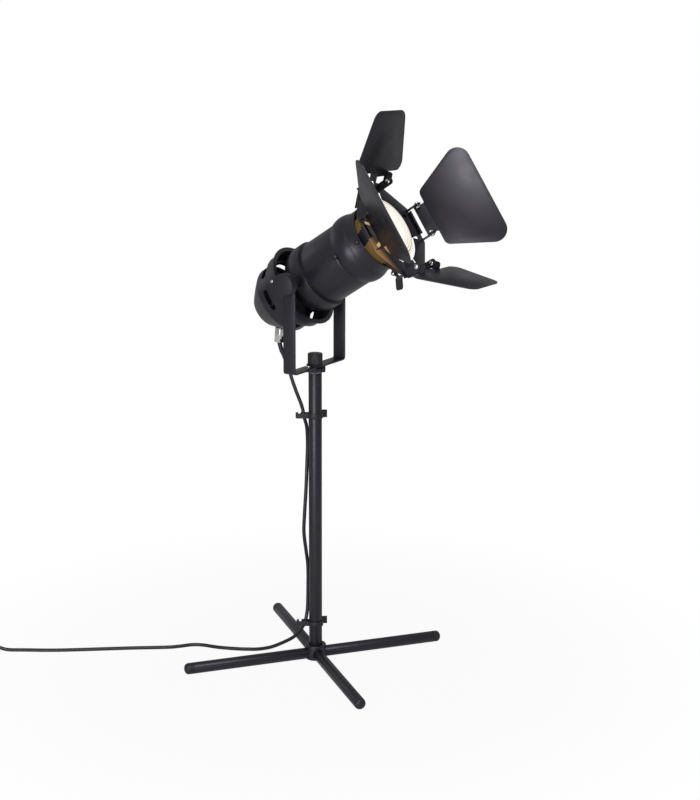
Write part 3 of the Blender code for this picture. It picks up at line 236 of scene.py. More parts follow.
def braided(name, slot, dark, light, strands, per_metre, depth):
    """Plaited yarn round a cord, from the piece's own attribute (cosine, sine, metres along)."""
    made, tree, shader = blank_finish(name, slot)
    lay = node(tree, "Attribute", {}, attribute_name="lay").outputs["Vector"]
    parts = node(tree, "SeparateXYZ", {0: lay}).outputs
    turn = math_node(tree, "MULTIPLY", math_node(tree, "ARCTAN2", parts["Y"], parts["X"]), float(strands))
    run = math_node(tree, "MULTIPLY", parts["Z"], per_metre)
    rising = math_node(tree, "SINE", math_node(tree, "ADD", turn, run))
    falling = math_node(tree, "SINE", math_node(tree, "SUBTRACT", turn, run))
    height = math_node(tree, "MAXIMUM", rising, math_node(tree, "MULTIPLY", falling, 0.6))
    share = math_node(tree, "MULTIPLY", math_node(tree, "MAXIMUM", height, 0.0), 0.8)
    dress(tree, shader, {"Base Color": between(tree, share, (*dark, 1), (*light, 1)), "Roughness": 0.6,
                         "Normal": bumped(tree, height, depth), "Specular IOR Level": 0.3})
    return made


# Ways of making a piece

def fit(name, blank, body, finish, place=None, nodes=(), sharp=38.0):
    """Turn a bmesh into a piece of the lamp that rides on a body."""
    if place is not None:
        bmesh.ops.transform(blank, matrix=place, verts=blank.verts[:])
    bmesh.ops.recalc_face_normals(blank, faces=blank.faces[:])
    mesh = bpy.data.meshes.new(name)
    blank.to_mesh(mesh)
    blank.free()
    mesh.shade_smooth()
    mesh.set_sharp_from_angle(angle=math.radians(sharp))
    mesh.materials.append(finish)
    piece = bpy.data.objects.new(name, mesh)
    studio.collection.objects.link(piece)
    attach(piece, body)
    if nodes:
        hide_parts(*nodes)
    return piece


def along(direction, place=(0, 0, 0)):
    """A frame whose Z points along a direction, from a place."""
    turn = Vector((0, 0, 1)).rotation_difference(Vector(direction)).to_matrix().to_4x4()
    return Matrix.Translation(place) @ turn


def moved(blank, matrix):
    bmesh.ops.transform(blank, matrix=matrix, verts=blank.verts[:])
    return blank


def stood(blank, side):
    """A plate drawn flat, set on edge on one side of the middle."""
    moved(blank, Matrix.Diagonal((1, -side, 1, 1)) @ ON_EDGE)
    bmesh.ops.recalc_face_normals(blank, faces=blank.faces[:])
    return blank


def bevelled(blank, edges, width, segments, clamp=False):
    bmesh.ops.bevel(blank, geom=edges, offset=width, affect="EDGES", segments=segments, profile=0.5,
                    material=-1, clamp_overlap=clamp)
    return blank


def arc(centre, reach, steps, start=0.0, sweep=math.pi / 2):
    """Points round a centre, with a reach to the side and one upwards."""
    turns = [start + sweep * step / steps for step in range(steps + 1)]
    return [(centre[0] + reach[0] * math.cos(turn), centre[1] + reach[1] * math.sin(turn)) for turn in turns]


def risen(blank, height):
    """Push a flat face up into a solid."""
    grown = bmesh.ops.extrude_face_region(blank, geom=blank.faces[:])
    top = [item for item in grown["geom"] if isinstance(item, bmesh.types.BMVert)]
    bmesh.ops.translate(blank, verts=top, vec=(0, 0, height))
    bmesh.ops.recalc_face_normals(blank, faces=blank.faces[:])
    return blank


def hex_blank(across, low, high):
    blank = bmesh.new()
    bmesh.ops.create_circle(blank, cap_ends=True, segments=6, radius=across / math.sqrt(3),
                            matrix=Matrix.Translation((0, 0, low)))
    return risen(blank, high - low)


def turned(profile, steps=64, closed=False):
    """Spin a line of (radius, height) points round Z."""
    blank = bmesh.new()
    verts = [blank.verts.new((radius, 0.0, height)) for radius, height in profile]
    edges = [blank.edges.new(pair) for pair in zip(verts, verts[1:])]
    if closed:
        edges.append(blank.edges.new((verts[-1], verts[0])))
    bmesh.ops.spin(blank, geom=verts + edges, cent=(0, 0, 0), axis=(0, 0, 1), dvec=(0, 0, 0),
                   angle=math.tau, steps=steps, use_merge=True, use_duplicate=False)
    bmesh.ops.remove_doubles(blank, verts=blank.verts[:], dist=1e-6)
    bmesh.ops.recalc_face_normals(blank, faces=blank.faces[:])
    return blank


def soften(blank, width, angle=40.0, segments=2):
    """Round every edge that is sharper than an angle."""
    edges = [edge for edge in blank.edges
             if len(edge.link_faces) == 2 and edge.calc_face_angle() > math.radians(angle)]
    return bevelled(blank, edges, width, segments, True)


def tube_blank(outer, inner, low, high, steps=64):
    return turned([(outer, low), (outer, high), (inner, high), (inner, low)], steps, closed=True)


def rod_blank(radius, low, high, steps=64):
    return turned([(0, low), (radius, low), (radius, high), (0, high)], steps)


def slab(outline, low, high):
    """Push a flat outline of (x, y) points up into a slab."""
    blank = bmesh.new()
    blank.faces.new([blank.verts.new((x, y, low)) for x, y in outline])
    return risen(blank, high - low)


def rounded(corners, steps=6):
    """Outline points for corners given as (x, y, radius)."""
    outline = []
    for index, (x, y, radius) in enumerate(corners):
        here = Vector((x, y))
        if radius <= 0.0:
            outline.append((x, y))
            continue
        before = Vector(corners[index - 1][:2]) - here
        after = Vector(corners[(index + 1) % len(corners)][:2]) - here
        half = before.angle(after) / 2
        reach = min(radius / math.tan(half), before.length * 0.49, after.length * 0.49)
        bend = reach * math.tan(half)
        centre = here + (before.normalized() + after.normalized()).normalized() * (bend / math.sin(half))
        start = here + before.normalized() * reach - centre
        end = here + after.normalized() * reach - centre
        sweep = start.angle_signed(end)
        for step in range(steps + 1):
            turn = Matrix.Rotation(-sweep * step / steps, 2)
            outline.append(tuple(centre + turn @ start))
    return outline


def bent(path, sheet, half_width, corner_steps=5):
    """A strip bent along a path of (x, z, bend radius) points, with its thickness to either side."""
    line = [Vector(spot) for spot in bend_line(path, corner_steps)]
    sides = []
    for sense in (1, -1):
        side = []
        for index, here in enumerate(line):
            runs = [(line[index + 1] - here).normalized()] if index < len(line) - 1 else []
            if index:
                runs.append((here - line[index - 1]).normalized())
            mean = sum(runs, Vector((0, 0))).normalized()
            reach = sheet / 2 / max(mean.dot(runs[0]), 0.5)
            side.append(tuple(here + Vector((-mean.y, mean.x)) * reach * sense))
        sides.append(side)
    return moved(slab(sides[0] + sides[1][::-1], -half_width, half_width), ON_EDGE)


def bend_line(path, steps):
    """The points of an open path with its inner corners rounded."""
    line = [path[0][:2]]
    for before, here, after in zip(path, path[1:], path[2:]):
        line.extend(rounded([(*before[:2], 0), here, (*after[:2], 0)], steps)[1:-1])
    line.append(path[-1][:2])
    return line


def cut_out(blank, cutter):
    """Take a closed mesh out of another with an exact boolean."""
    pair = []
    for part in (blank, cutter):
        bmesh.ops.recalc_face_normals(part, faces=part.faces[:])
        mesh = bpy.data.meshes.new("blank")
        part.to_mesh(mesh)
        part.free()
        holder = bpy.data.objects.new("blank", mesh)
        studio.collection.objects.link(holder)
        pair.append(holder)
    trim = pair[0].modifiers.new("trim", "BOOLEAN")
    trim.operation = "DIFFERENCE"
    trim.solver = "EXACT"
    trim.object = pair[1]
    result = bmesh.new()
    result.from_object(pair[0], bpy.context.evaluated_depsgraph_get())
    for holder in pair:
        bpy.data.meshes.remove(holder.data)
    return result


def both(*blanks):
    """Several bmeshes as one."""
    whole = blanks[0]
    for part in blanks[1:]:
        mesh = bpy.data.meshes.new("blank")
        part.to_mesh(mesh)
        part.free()
        whole.from_mesh(mesh)
        bpy.data.meshes.remove(mesh)
    return whole


# The lead

lead_diameter = 0.0044
sleeve_diameter = 0.0045
boot_route = ((0.04217, -0.02611, 0.4005), (0.04267, -0.02642, 0.3932), (0.0413, -0.0257, 0.3862),
              (0.0393, -0.0245, 0.3801))
pole_route = ((0.0393, -0.0245, 0.3801), (0.0350, -0.0219, 0.3700), (0.0309, -0.0193, 0.3590),
              (0.0275, -0.0160, 0.3480), (0.0226, -0.0110, 0.3350), (0.0170, -0.0040, 0.3220),
              (0.0146, -0.0008, 0.3140), (0.0135, 0.0, 0.3085), (0.0125, -0.0010, 0.3030),
              (0.0102, -0.0042, 0.2930), (0.0093, -0.0056, 0.2740), (0.0099, -0.0046, 0.2520),
              (0.0112, -0.0020, 0.2186), (0.0132, 0.0, 0.1848), (0.0140, 0.0, 0.1621),
              (0.0116, -0.0016, 0.1393), (0.0094, -0.0054, 0.1186), (0.0092, -0.0058, 0.0931),
              (0.0098, -0.0046, 0.0660), (0.0112, -0.0006, 0.0545), (0.0132, -0.0001, 0.0460),
              (0.0165, -0.0004, 0.0390), (0.0220, -0.0025, 0.0310), (0.0300, -0.0050, 0.0228),
              (0.0500, -0.0120, 0.0105), (0.0640, -0.0170, 0.0048), (0.0790, -0.0205, 0.0022),
              (0.0961, -0.0220, 0.0022), (0.1219, -0.0275, 0.0022), (0.1411, -0.0350, 0.0022),
              (0.1553, -0.0367, 0.0022), (0.1690, -0.0325, 0.0022), (0.1830, -0.0291, 0.0022),
              (0.2074, -0.0277, 0.0022), (0.2360, -0.0265, 0.0022), (0.3188, -0.0212, 0.0022),
              (0.3640, -0.0224, 0.0022), (0.3820, -0.0227, 0.0024), (0.3890, -0.0229, 0.0035),
              (0.3950, -0.0229, 0.0055), (0.4000, -0.0229, 0.0064), (0.4040, -0.0229, 0.0064))
tilt_part = 0.3480
swivel_part = 0.3215
coil_offset = 0.0345
coil_inner_radius = 0.0188
coil_pitch = 0.0058
coil_layer = 0.0052
coil_turns_each = 2.5
coil_climb_turns = 0.5
coil_loop_points = 48
tail_length = 0.0300
switch_length = 0.0620
lead_entry_height = 0.0064
plug_body_height = 0.0137


def smooth_route(points, spacing):
    """Even points along a Catmull-Rom curve through a route's points."""
    spots = [Vector(point) for point in points]
    spots = [spots[0] * 2 - spots[1]] + spots + [spots[-1] * 2 - spots[-2]]
    fine = []
    for first, start, end, last in zip(spots, spots[1:], spots[2:], spots[3:]):
        for step in range(24):
            t = step / 24
            fine.append(0.5 * ((2 * start) + (end - first) * t
                               + (2 * first - 5 * start + 4 * end - last) * t * t
                               + (3 * start - first - 3 * end + last) * t ** 3))
    fine.append(spots[-2].copy())
    lengths = [0.0]
    for before, after in zip(fine, fine[1:]):
        lengths.append(lengths[-1] + (after - before).length)
    count = max(round(lengths[-1] / spacing), 3)
    even = []
    place = 0
    for index in range(count + 1):
        want = lengths[-1] * index / count
        while place < len(lengths) - 2 and lengths[place + 1] < want:
            place += 1
        span = lengths[place + 1] - lengths[place]
        even.append(fine[place].lerp(fine[place + 1], (want - lengths[place]) / span))
    return even


def switch_entry():
    """Where the lead goes into the switch."""
    last = Vector(pole_route[-1])
    last.z = max(last.z, lead_diameter / 2)
    return last


def coil_route(entry):
    """From the switch into the coil, in on the lower layer, out on the upper one, to the plug."""
    start_x = entry.x + switch_length + gap * 2
    outer = coil_inner_radius + coil_turns_each * coil_pitch
    low = lead_diameter / 2
    centre = Vector((start_x + coil_offset, entry.y + outer, low))
    points = smooth_route(((start_x, entry.y, lead_entry_height),
                           (start_x + coil_offset * 0.2, entry.y, lead_entry_height),
                           (start_x + coil_offset * 0.55, entry.y, lead_entry_height * 0.55),
                           (start_x + coil_offset * 0.9, entry.y, low)), 0.004)
    turns = coil_turns_each * 2 + coil_climb_turns
    count = round(turns * coil_loop_points)
    for step in range(count + 1):
        turn = turns * step / count
        climbed = min(max((turn - coil_turns_each) / coil_climb_turns, 0.0), 1.0)
        wound = min(turn, coil_turns_each) - max(turn - coil_turns_each - coil_climb_turns, 0.0)
        radius = outer - coil_pitch * wound
        rise = coil_layer * climbed * climbed * (3 - 2 * climbed)
        angle = math.tau * turn - math.pi / 2
        points.append(centre + Vector((radius * math.cos(angle), radius * math.sin(angle), rise)))
    last = points[-1]
    middle = plug_body_height / 2
    tail = smooth_route((last, last - Vector((tail_length * 0.4, 0, 0)),
                         last + Vector((-tail_length * 0.8, 0, middle - last.z)),
                         last + Vector((-tail_length, 0, middle - last.z))), 0.004)
    return points + tail[1:], centre


def cord_blank(points, radii, sides=14):
    """Rings along a route, bridged into a closed tube, with an attribute for a plait."""
    blank = bmesh.new()
    lay = blank.verts.layers.float_vector.new("lay")
    count = len(points)
    rings = []
    side = None
    travelled = 0.0
    for index, (point, radius) in enumerate(zip(points, radii)):
        ahead = (points[min(index + 1, count - 1)] - points[max(index - 1, 0)]).normalized()
        if side is None:
            side = ahead.orthogonal().normalized()
        side = (side - ahead * side.dot(ahead)).normalized()
        if index:
            travelled += (point - points[index - 1]).length
        place = Matrix((side, ahead.cross(side), ahead)).transposed().to_4x4()
        place.translation = point
        made = bmesh.ops.create_circle(blank, segments=sides, radius=radius, matrix=place)
        for vert in made["verts"]:
            out = place.inverted() @ vert.co / radius
            vert[lay] = (out.x, out.y, travelled)
        rings.append(made["verts"])
    for before, after in zip(rings, rings[1:]):
        for index in range(sides):
            nxt = (index + 1) % sides
            blank.faces.new((before[index], before[nxt], after[nxt], after[index]))
    for ring in (rings[0], rings[-1]):
        blank.faces.new(ring)
    return blank


def lead_pieces(finishes):
    """The boot, the braided sleeve over both joints, and the run to the switch."""
    boot = [LEAD @ point for point in smooth_route(boot_route, 0.0015)]
    count = len(boot) - 1
    radii = [0.0030 - 0.0004 * index / count for index in range(count + 1)]
    fit("gland_boot", cord_blank(boot, radii, 20), "head", finishes["plastic"], nodes=["lead_boot"])
    route = smooth_route(pole_route, 0.003)
    for point in route:
        point.z = max(point.z, lead_diameter / 2)
    first = next(index for index, point in enumerate(route) if point.z < tilt_part)
    second = next(index for index, point in enumerate(route) if point.z < swivel_part)
    route = [LEAD @ point for point in route]
    spans = (("sleeve_upper", route[:first + 1], "lead_upper", ("head", "yoke"), finishes["braid"]),
             ("sleeve_lower", route[first:second + 1], "lead_turn", ("yoke", "stand"), finishes["braid"]),
             ("lead_to_switch", route[second:], "lead_run", None, finishes["flex"]))
    for name, points, node, joint, finish in spans:
        sleeve = joint is not None
        radius = (sleeve_diameter if sleeve else lead_diameter) / 2
        blank = cord_blank(points, [radius] * len(points))
        if joint:
            piece = cord_object(name, blank, finish, [node])
            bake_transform(piece)
        else:
            piece = fit(name, blank, "stand", finish, nodes=[node])


def cord_object(name, blank, finish, nodes):
    """A cord that spans a joint, which rides on no single body."""
    bmesh.ops.recalc_face_normals(blank, faces=blank.faces[:])
    mesh = bpy.data.meshes.new(name)
    blank.to_mesh(mesh)
    blank.free()
    mesh.shade_smooth()
    mesh.materials.append(finish)
    piece = bpy.data.objects.new(name, mesh)
    studio.collection.objects.link(piece)
    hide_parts(*nodes)
    return piece


def coil_pieces(entry, finishes):
    points, centre = coil_route(entry)
    points = [LEAD @ point for point in points]
    coil = fit("lead_coiled", cord_blank(points, [lead_diameter / 2] * len(points), 12), "stand",
               finishes["flex"], nodes=["lead_coil"])


# Sizes of the stand

pole_radius = 0.0080
pole_wall = 0.0012
pole_foot = 0.0053
pole_top = 0.3607
hub_radius = 0.0128
hub_height = 0.0180
leg_radius = 0.0068
leg_wall = 0.0012
leg_start = 0.0095
leg_reach = 0.1662
leg_cap = 0.0105
plug_in = 0.0080
tip_dome = 0.0052
leg_turn = math.radians(-40.05)
stud_radius = 0.0050
washer_radius = 0.0076
nut_across = 0.0245
flange_radius = 0.0105
cap_radius = 0.0089
cap_height = 0.0130
yoke_underside = 0.3675
yoke_thickness = 0.0020
yoke_half = 0.05695
yoke_bend = 0.0045
strap_half = 0.0080
pivot_bore = 0.0033
knob_height = 0.0119
thin_sheet = 0.0012


def leg_frame(index):
    turn = Matrix.Rotation(leg_turn + math.tau * index / 4, 4, "Z")
    return Matrix.Translation((0, 0, leg_radius)) @ turn @ Matrix.Rotation(math.pi / 2, 4, "Y")


def stand_pieces(finishes):
    """Pole, hub with its four legs, and the stack that the yoke swivels on."""
    paint = finishes["paint"]
    pole = tube_blank(pole_radius, pole_radius - pole_wall, pole_foot, pole_top, 72)
    fit("pole_tube", soften(pole, 0.0003), "stand", paint, nodes=["pole"])
    hub = turned([(0, 0), (hub_radius, 0), (hub_radius, hub_height), (pole_radius + gap, hub_height),
                  (pole_radius + gap, pole_foot - gap), (0, pole_foot - gap)], 72)
    for index in range(4):
        socket = rod_blank(leg_radius + gap, leg_start - gap, hub_radius * 2, 40)
        hub = cut_out(hub, moved(socket, leg_frame(index)))
    rims = [edge for edge in hub.edges if len(edge.link_faces) == 2
            and edge.calc_face_angle() > math.radians(60)
            and all(abs(vert.co.z - hub_height) < gap / 10 for vert in edge.verts)]
    fit("hub_casting", bevelled(hub, rims, 0.0008, 3), "stand", paint, nodes=["hub"])
    for index in range(4):
        place = leg_frame(index)
        leg_end = leg_reach - leg_cap
        leg = soften(tube_blank(leg_radius, leg_radius - leg_wall, leg_start, leg_end, 48), 0.0002)
        fit(f"leg_tube_{index + 1}", leg, "stand", paint, place, [f"leg_{index + 1}"])
        bore = leg_radius - leg_wall - gap
        profile = [(0, leg_end - plug_in), (bore, leg_end - plug_in), (bore, leg_end + gap),
                   (leg_radius, leg_end + gap)]
        profile += arc((leg_radius - tip_dome, leg_reach - tip_dome), (tip_dome, tip_dome), 12)
        profile.append((0, leg_reach))
        fit(f"leg_tip_{index + 1}", turned(profile, 40), "stand", finishes["plastic"], place,
            [f"leg_end_cap_{index + 1}"])
    hole = stud_radius + gap
    low = pole_top + gap
    washer = soften(tube_blank(washer_radius, hole, low, low + thin_sheet, 64), 0.0002)
    fit("swivel_washer_disc", washer, "stand", finishes["plate"], nodes=["swivel_washer"])
    nut_low = low + thin_sheet + gap
    nut_high = yoke_underside - gap
    nut = cut_out(soften(hex_blank(nut_across, nut_low, nut_high), 0.0006),
                  rod_blank(hole, nut_low - gap, nut_high + gap, 40))
    fit("swivel_lock_nut", nut, "stand", paint, nodes=["swivel_nut"])
    flange_low = yoke_underside + yoke_thickness + gap
    flange = soften(tube_blank(flange_radius, hole, flange_low, flange_low + thin_sheet, 64), 0.0003)
    fit("swivel_flange_disc", flange, "stand", paint, nodes=["swivel_flange"])
    cap_low = flange_low + thin_sheet + gap
    fit("cap_knob_fluted", fluted_knob(cap_radius, cap_low, cap_low + cap_height, 0.0001, 60, hole,
                                       cap_height - 0.0022), "cap_knob", finishes["plastic"],
        nodes=["cap_knob"])


def fluted_knob(radius, low, high, flute, count, bore, depth):
    """A round knob with fine flutes on its side, a bevelled rim and a blind bore from below."""
    edge = 0.0009
    knob = turned([(bore, low), (radius - edge / 2, low), (radius, low + edge / 2), (radius, high - edge),
                   (radius - edge * 0.3, high - edge * 0.3), (radius - edge, high), (0, high),
                   ], count * 4)
    inside = turned([(bore, low), (bore, low + depth), (0, low + depth)], count * 4)
    knob = both(knob, inside)
    bmesh.ops.remove_doubles(knob, verts=knob.verts[:], dist=1e-6)
    for vert in knob.verts:
        reach = math.hypot(vert.co.x, vert.co.y)
        if abs(reach - radius) < gap / 10:
            ripple = math.cos(math.atan2(vert.co.y, vert.co.x) * count)
            vert.co.xy *= 1 + flute * min(ripple, 0.0) * 1.5 / reach
    return knob


def yoke_pieces(finishes):
    """The bent strap, its earth screw, and the washers and knobs of the tilt axis."""
    top = pivot_height + strap_half
    inner = yoke_half - yoke_thickness
    floor = yoke_underside + yoke_thickness
    bend = yoke_bend - yoke_thickness
    corners = [(-yoke_half, yoke_underside, yoke_bend), (yoke_half, yoke_underside, yoke_bend),
               (yoke_half, top, 0), (inner, top, 0), (inner, floor, bend), (-inner, floor, bend),
               (-inner, top, 0), (-yoke_half, top, 0)]
    strap = slab(rounded(corners, 8), -strap_half, strap_half)
    ends = [edge for edge in strap.edges if all(vert.co.y > top - gap for vert in edge.verts)
            and abs(edge.verts[0].co.x - edge.verts[1].co.x) > yoke_thickness / 2]
    strap = moved(soften(bevelled(strap, ends, strap_half - gap, 12), 0.0003), ON_EDGE)
    strap = cut_out(strap, rod_blank(stud_radius + gap, yoke_underside - gap, floor + gap, 40))
    hole = rod_blank(pivot_bore, -yoke_half * 2, yoke_half * 2, 32)
    fit("yoke_strap", cut_out(strap, moved(hole, along((1, 0, 0), (0, 0, pivot_height)))), "yoke",
        finishes["paint"], nodes=["yoke"])
    fit("earth_screw_head", pan_head(0.0028, 0.0022), "yoke", finishes["plate"],
        Matrix.Translation((-0.0155, 0, floor + gap)), ["earth_screw"])
    washer_low = yoke_half + gap
    knob_low = washer_low + thin_sheet + gap
    for name, side in (("near", -1), ("far", 1)):
        place = along((side, 0, 0), (0, 0, pivot_height))
        disc = soften(tube_blank(0.00875, pivot_bore, washer_low, washer_low + thin_sheet, 56), 0.0003)
        fit(f"tilt_washer_{name}", disc, "yoke", finishes["plastic"], place, [f"pivot_washer_{name}"])
        knob = fluted_knob(0.0131, knob_low, knob_low + knob_height, 0.00012, 64, pivot_bore,
                           knob_height - 0.0024)
        fit(f"tilt_knob_{name}", knob, f"knob_{name}", finishes["plastic"], place, [f"pivot_knob_{name}"])


def pan_head(radius, height):
    """A domed screw head with a cross recess, seated at zero."""
    crown = arc((0, height * 0.35), (radius, height * 0.65), 8)[1:-1]
    head = turned([(0, 0), (radius, 0), (radius, height * 0.35)] + crown + [(0, height)], 32)
    reach, half = radius * 0.6, radius * 0.14
    for swing in (0, math.pi / 2):
        arm = slab([(-reach, -half), (reach, -half), (reach, half), (-reach, half)],
                   height * 0.55, height * 1.5)
        head = cut_out(head, moved(arm, Matrix.Rotation(swing, 4, "Z")))
    return head


# Sizes of the head

can_wall = 0.0011
tube_radius = 0.0387
neck_start = -0.0140
neck_end = 0.0122
neck_swell = 0.0026
neck_draw = 0.0028
groove = 0.0008
bell_start = 0.0605
bell_end = 0.0840
bell_swell = 0.0029
can_front = 0.0985
rim_lip = 0.0007
housing_back = -0.0818
housing_flat = 0.0205
housing_cone_end = -0.0544
housing_band = 0.0413
gland_length = 0.0176
lens_radius = 0.0365
rib_spacing = 0.0036
bowl_radius = 0.0350
lens_front = 0.1225
reflector_back = 0.0600
plate_station = 0.1190
plate_sheet = 0.0012
plate_half = 0.0575
plate_hole = 0.0400
plate_drop = 0.0032
hinge_reach = 0.0530
hinge_stand = 0.0165
ear_offset = 0.0192


def can_pieces(finishes):
    """The spun can: a flared neck with a bead, a plain tube, a bell and a rolled front rim."""
    outline = []
    for step in range(19):
        share = step / 18
        outline.append((tube_radius - neck_draw + (neck_swell + neck_draw) * math.sin(share * math.pi / 2),
                        neck_start + (neck_end - neck_start) * share * 0.62))
    bead = tube_radius + neck_swell
    outline += [(bead, neck_end - groove), (bead - groove / 4, neck_end), (tube_radius - groove * 0.8,
                neck_end + groove), (tube_radius - groove, neck_end + groove * 1.8)]
    outline += [(tube_radius - groove * 0.3, neck_end + groove * 3), (tube_radius, neck_end + groove * 4)]
    outline += [(tube_radius, bell_start - groove * 3), (tube_radius - groove * 0.2, bell_start - groove),
                (tube_radius - groove / 2, bell_start)]
    for step in range(1, 24):
        share = step / 24
        swell = math.sin(share * math.pi) ** 0.8
        outline.append((tube_radius - groove / 2 * (1 - swell) + bell_swell * swell,
                        bell_start + (bell_end - bell_start) * share))
    front = tube_radius - groove / 2
    outline += [(front, bell_end), (front, can_front - rim_lip * 3)]
    outline += arc((front, can_front - rim_lip), (rim_lip, rim_lip), 8, -math.pi / 2, math.pi)
    inner = [(radius - can_wall, station) for radius, station in outline]
    can = turned(outline + inner[::-1], 112, closed=True)
    fit("can_spinning", can, "head", finishes["paint"], HEAD, ["can_body"], sharp=50.0)
    for index, (angle, station) in enumerate(((180, 0.0598), (180, 0.0933), (0, 0.0598), (0, 0.0933))):
        seat = front + (bell_swell * 0.2 if station < 0.08 else 0.0) - gap
        rivet = turned([(0, 0), (0.0030, 0)] + arc((0, 0.0006), (0.0030, 0.0019), 8), 32)
        fit(f"can_rivet_{index + 1}", rivet, "head", finishes["paint"], round_the_head(angle, seat, station))


def round_the_head(angle, radius, station):
    """Outwards from the can's axis, at an angle round it."""
    out = Matrix.Rotation(math.radians(angle), 3, "Z") @ Vector((1, 0, 0))
    return HEAD @ along(out, out * radius + Vector((0, 0, station)))


def housing_pieces(finishes):
    """The rear cover: flat back, cone, vented band, and a collar with a flange round its mouth."""
    back, flat, cone_end, band = housing_back, housing_flat, housing_cone_end, housing_band
    collar_start, collar, flange, flange_reach = -0.0343, 0.0467, -0.0180, 0.0506
    wall = can_wall
    bulge = Vector((flat + (band - flat) * 0.42 * 1.17, back + (cone_end - back) * 0.42))
    outline = [(0, back), (flat - wall, back), (flat - wall * 0.2, back + wall * 0.15),
               (flat + wall, back + wall)]
    for step in range(1, 9):
        share = step / 9
        here = (Vector((flat + wall, back + wall)) * (1 - share) ** 2 + bulge * 2 * share * (1 - share)
                + Vector((band - wall, cone_end - wall * 2)) * share ** 2)
        outline.append(tuple(here))
    outline += [(band - wall, cone_end - wall * 2), (band - wall * 0.3, cone_end - wall * 0.8),
                (band, cone_end),
                (band, collar_start - wall * 0.4), (band + wall * 0.4, collar_start), (collar - wall, collar_start),
                (collar - wall * 0.3, collar_start + wall * 0.3), (collar, collar_start + wall),
                (collar, flange - thin_sheet - wall * 0.6), (collar + wall * 0.6, flange - thin_sheet),
                (flange_reach - wall * 0.3, flange - thin_sheet), (flange_reach, flange - thin_sheet + wall * 0.3),
                (flange_reach, flange - wall * 0.3), (flange_reach - wall * 0.3, flange)]
    inner = [(collar - wall, flange), (collar - wall, collar_start + wall), (band - wall, collar_start + wall),
             (band - wall, cone_end), (bulge.x - wall, bulge.y + wall), (flat - wall, back + wall * 1.4),
             (0, back + wall * 1.4)]
    cover = turned(outline + inner, 120)
    for index in range(6):
        cover = cut_out(cover, vent_cutter(math.pi + math.tau * index / 6))
    cover = cut_out(cover, moved(rod_blank(0.0036, -0.004, 0.004, 32), gland_frame()))
    cover = cut_out(cover, rod_blank(0.0053, back - gap, back + wall * 2, 32))
    fit("rear_cover", cover, "head", finishes["paint"], HEAD, ["rear_housing"], sharp=34.0)
    for index, angle in enumerate((-80.0, 40.0, 160.0)):
        fit(f"collar_screw_{index + 1}", pan_head(0.0019, 0.0012), "head", finishes["plate"],
            round_the_head(angle, collar, -0.0272))


def vent_cutter(angle):
    """A slot with round ends, bent round the band."""
    band, half, over = housing_band, 0.0032, 0.004
    sweep = math.radians(18.5) - half / band
    blank = bmesh.new()
    outline = []
    for centre, start in ((sweep, math.pi / 2), (-sweep, -math.pi / 2)):
        outline += arc((centre, -0.0447), (half / band, half), 8, start, -math.pi)
    long_side = []
    for (before, level), (after, next_level) in zip(outline, outline[1:] + outline[:1]):
        steps = 10 if abs(after - before) > sweep else 1
        long_side += [(before + (after - before) * step / steps, level + (next_level - level) * step / steps)
                      for step in range(steps)]
    verts = [blank.verts.new(((band - over) * math.cos(angle + turn), (band - over) * math.sin(angle + turn),
                              level)) for turn, level in long_side]
    face = blank.faces.new(verts)
    grown = bmesh.ops.extrude_face_region(blank, geom=[face])
    raised = [item for item in grown["geom"] if isinstance(item, bmesh.types.BMVert)]
    bmesh.ops.scale(blank, verts=raised, vec=((band + over) / (band - over),) * 2 + (1,))
    return blank


def gland_frame():
    """Under the cone, pointing straight down when the head is level with its rest."""
    rise, run, station = housing_band - housing_flat, housing_cone_end - housing_back, -0.0745
    slope = math.atan2(rise, run)
    radius = housing_flat + rise * (station - housing_back) / run
    return along((0, -math.cos(slope), -math.sin(slope)), (0, -radius, station))


def gland_pieces(finishes):
    """The bright hexagon gland that the lead leaves through."""
    low = gap * 4
    high = low + gland_length
    body = cut_out(soften(hex_blank(0.0122, low, high), 0.0006), rod_blank(0.0033, low - gap, high + gap, 32))
    fit("gland_hexagon", body, "head", finishes["plate"], HEAD @ gland_frame(), ["cable_gland"])


def lamp_pieces(finishes):
    """The lamp's moulded face with its stepped ribs, and the bowl behind it."""
    rear = lens_front - 0.006
    bowl = []
    for step in range(21):
        share = step / 20
        bowl.append((0.0150 + (bowl_radius - 0.0150) * math.sqrt(share),
                     reflector_back + (rear - reflector_back) * share))
    inner = [(radius - can_wall, station + can_wall * 0.4) for radius, station in bowl]
    fit("lamp_bowl", turned(bowl + inner[::-1], 96, closed=True), "head", finishes["brass"], HEAD,
        ["lamp_reflector"])
    low = rear + gap
    profile = [(0, low), (lens_radius, low), (lens_radius, low + 0.0030)]
    crown = 0.0030
    steps = 36
    for step in range(1, steps):
        turn = step / steps * math.pi / 2
        rib = 0.00022 if step % 4 in (1, 2) and step < steps * 0.75 else 0.0
        profile.append((lens_radius * math.cos(turn), low + 0.0030 + crown * math.sin(turn) - rib))
    profile.append((0, low + 0.0030 + crown))
    fit("lamp_face_glass", turned(profile, 96), "head", finishes["face"], HEAD, ["lamp_lens"], sharp=50.0)


def plate_frame(turn):
    """On the head, one side of the plate: X outwards, Y along its hinge, Z to the light."""
    return HEAD @ Matrix.Translation((0, -plate_drop, 0)) @ Matrix.Rotation(math.pi / 2 * turn, 4, "Z")


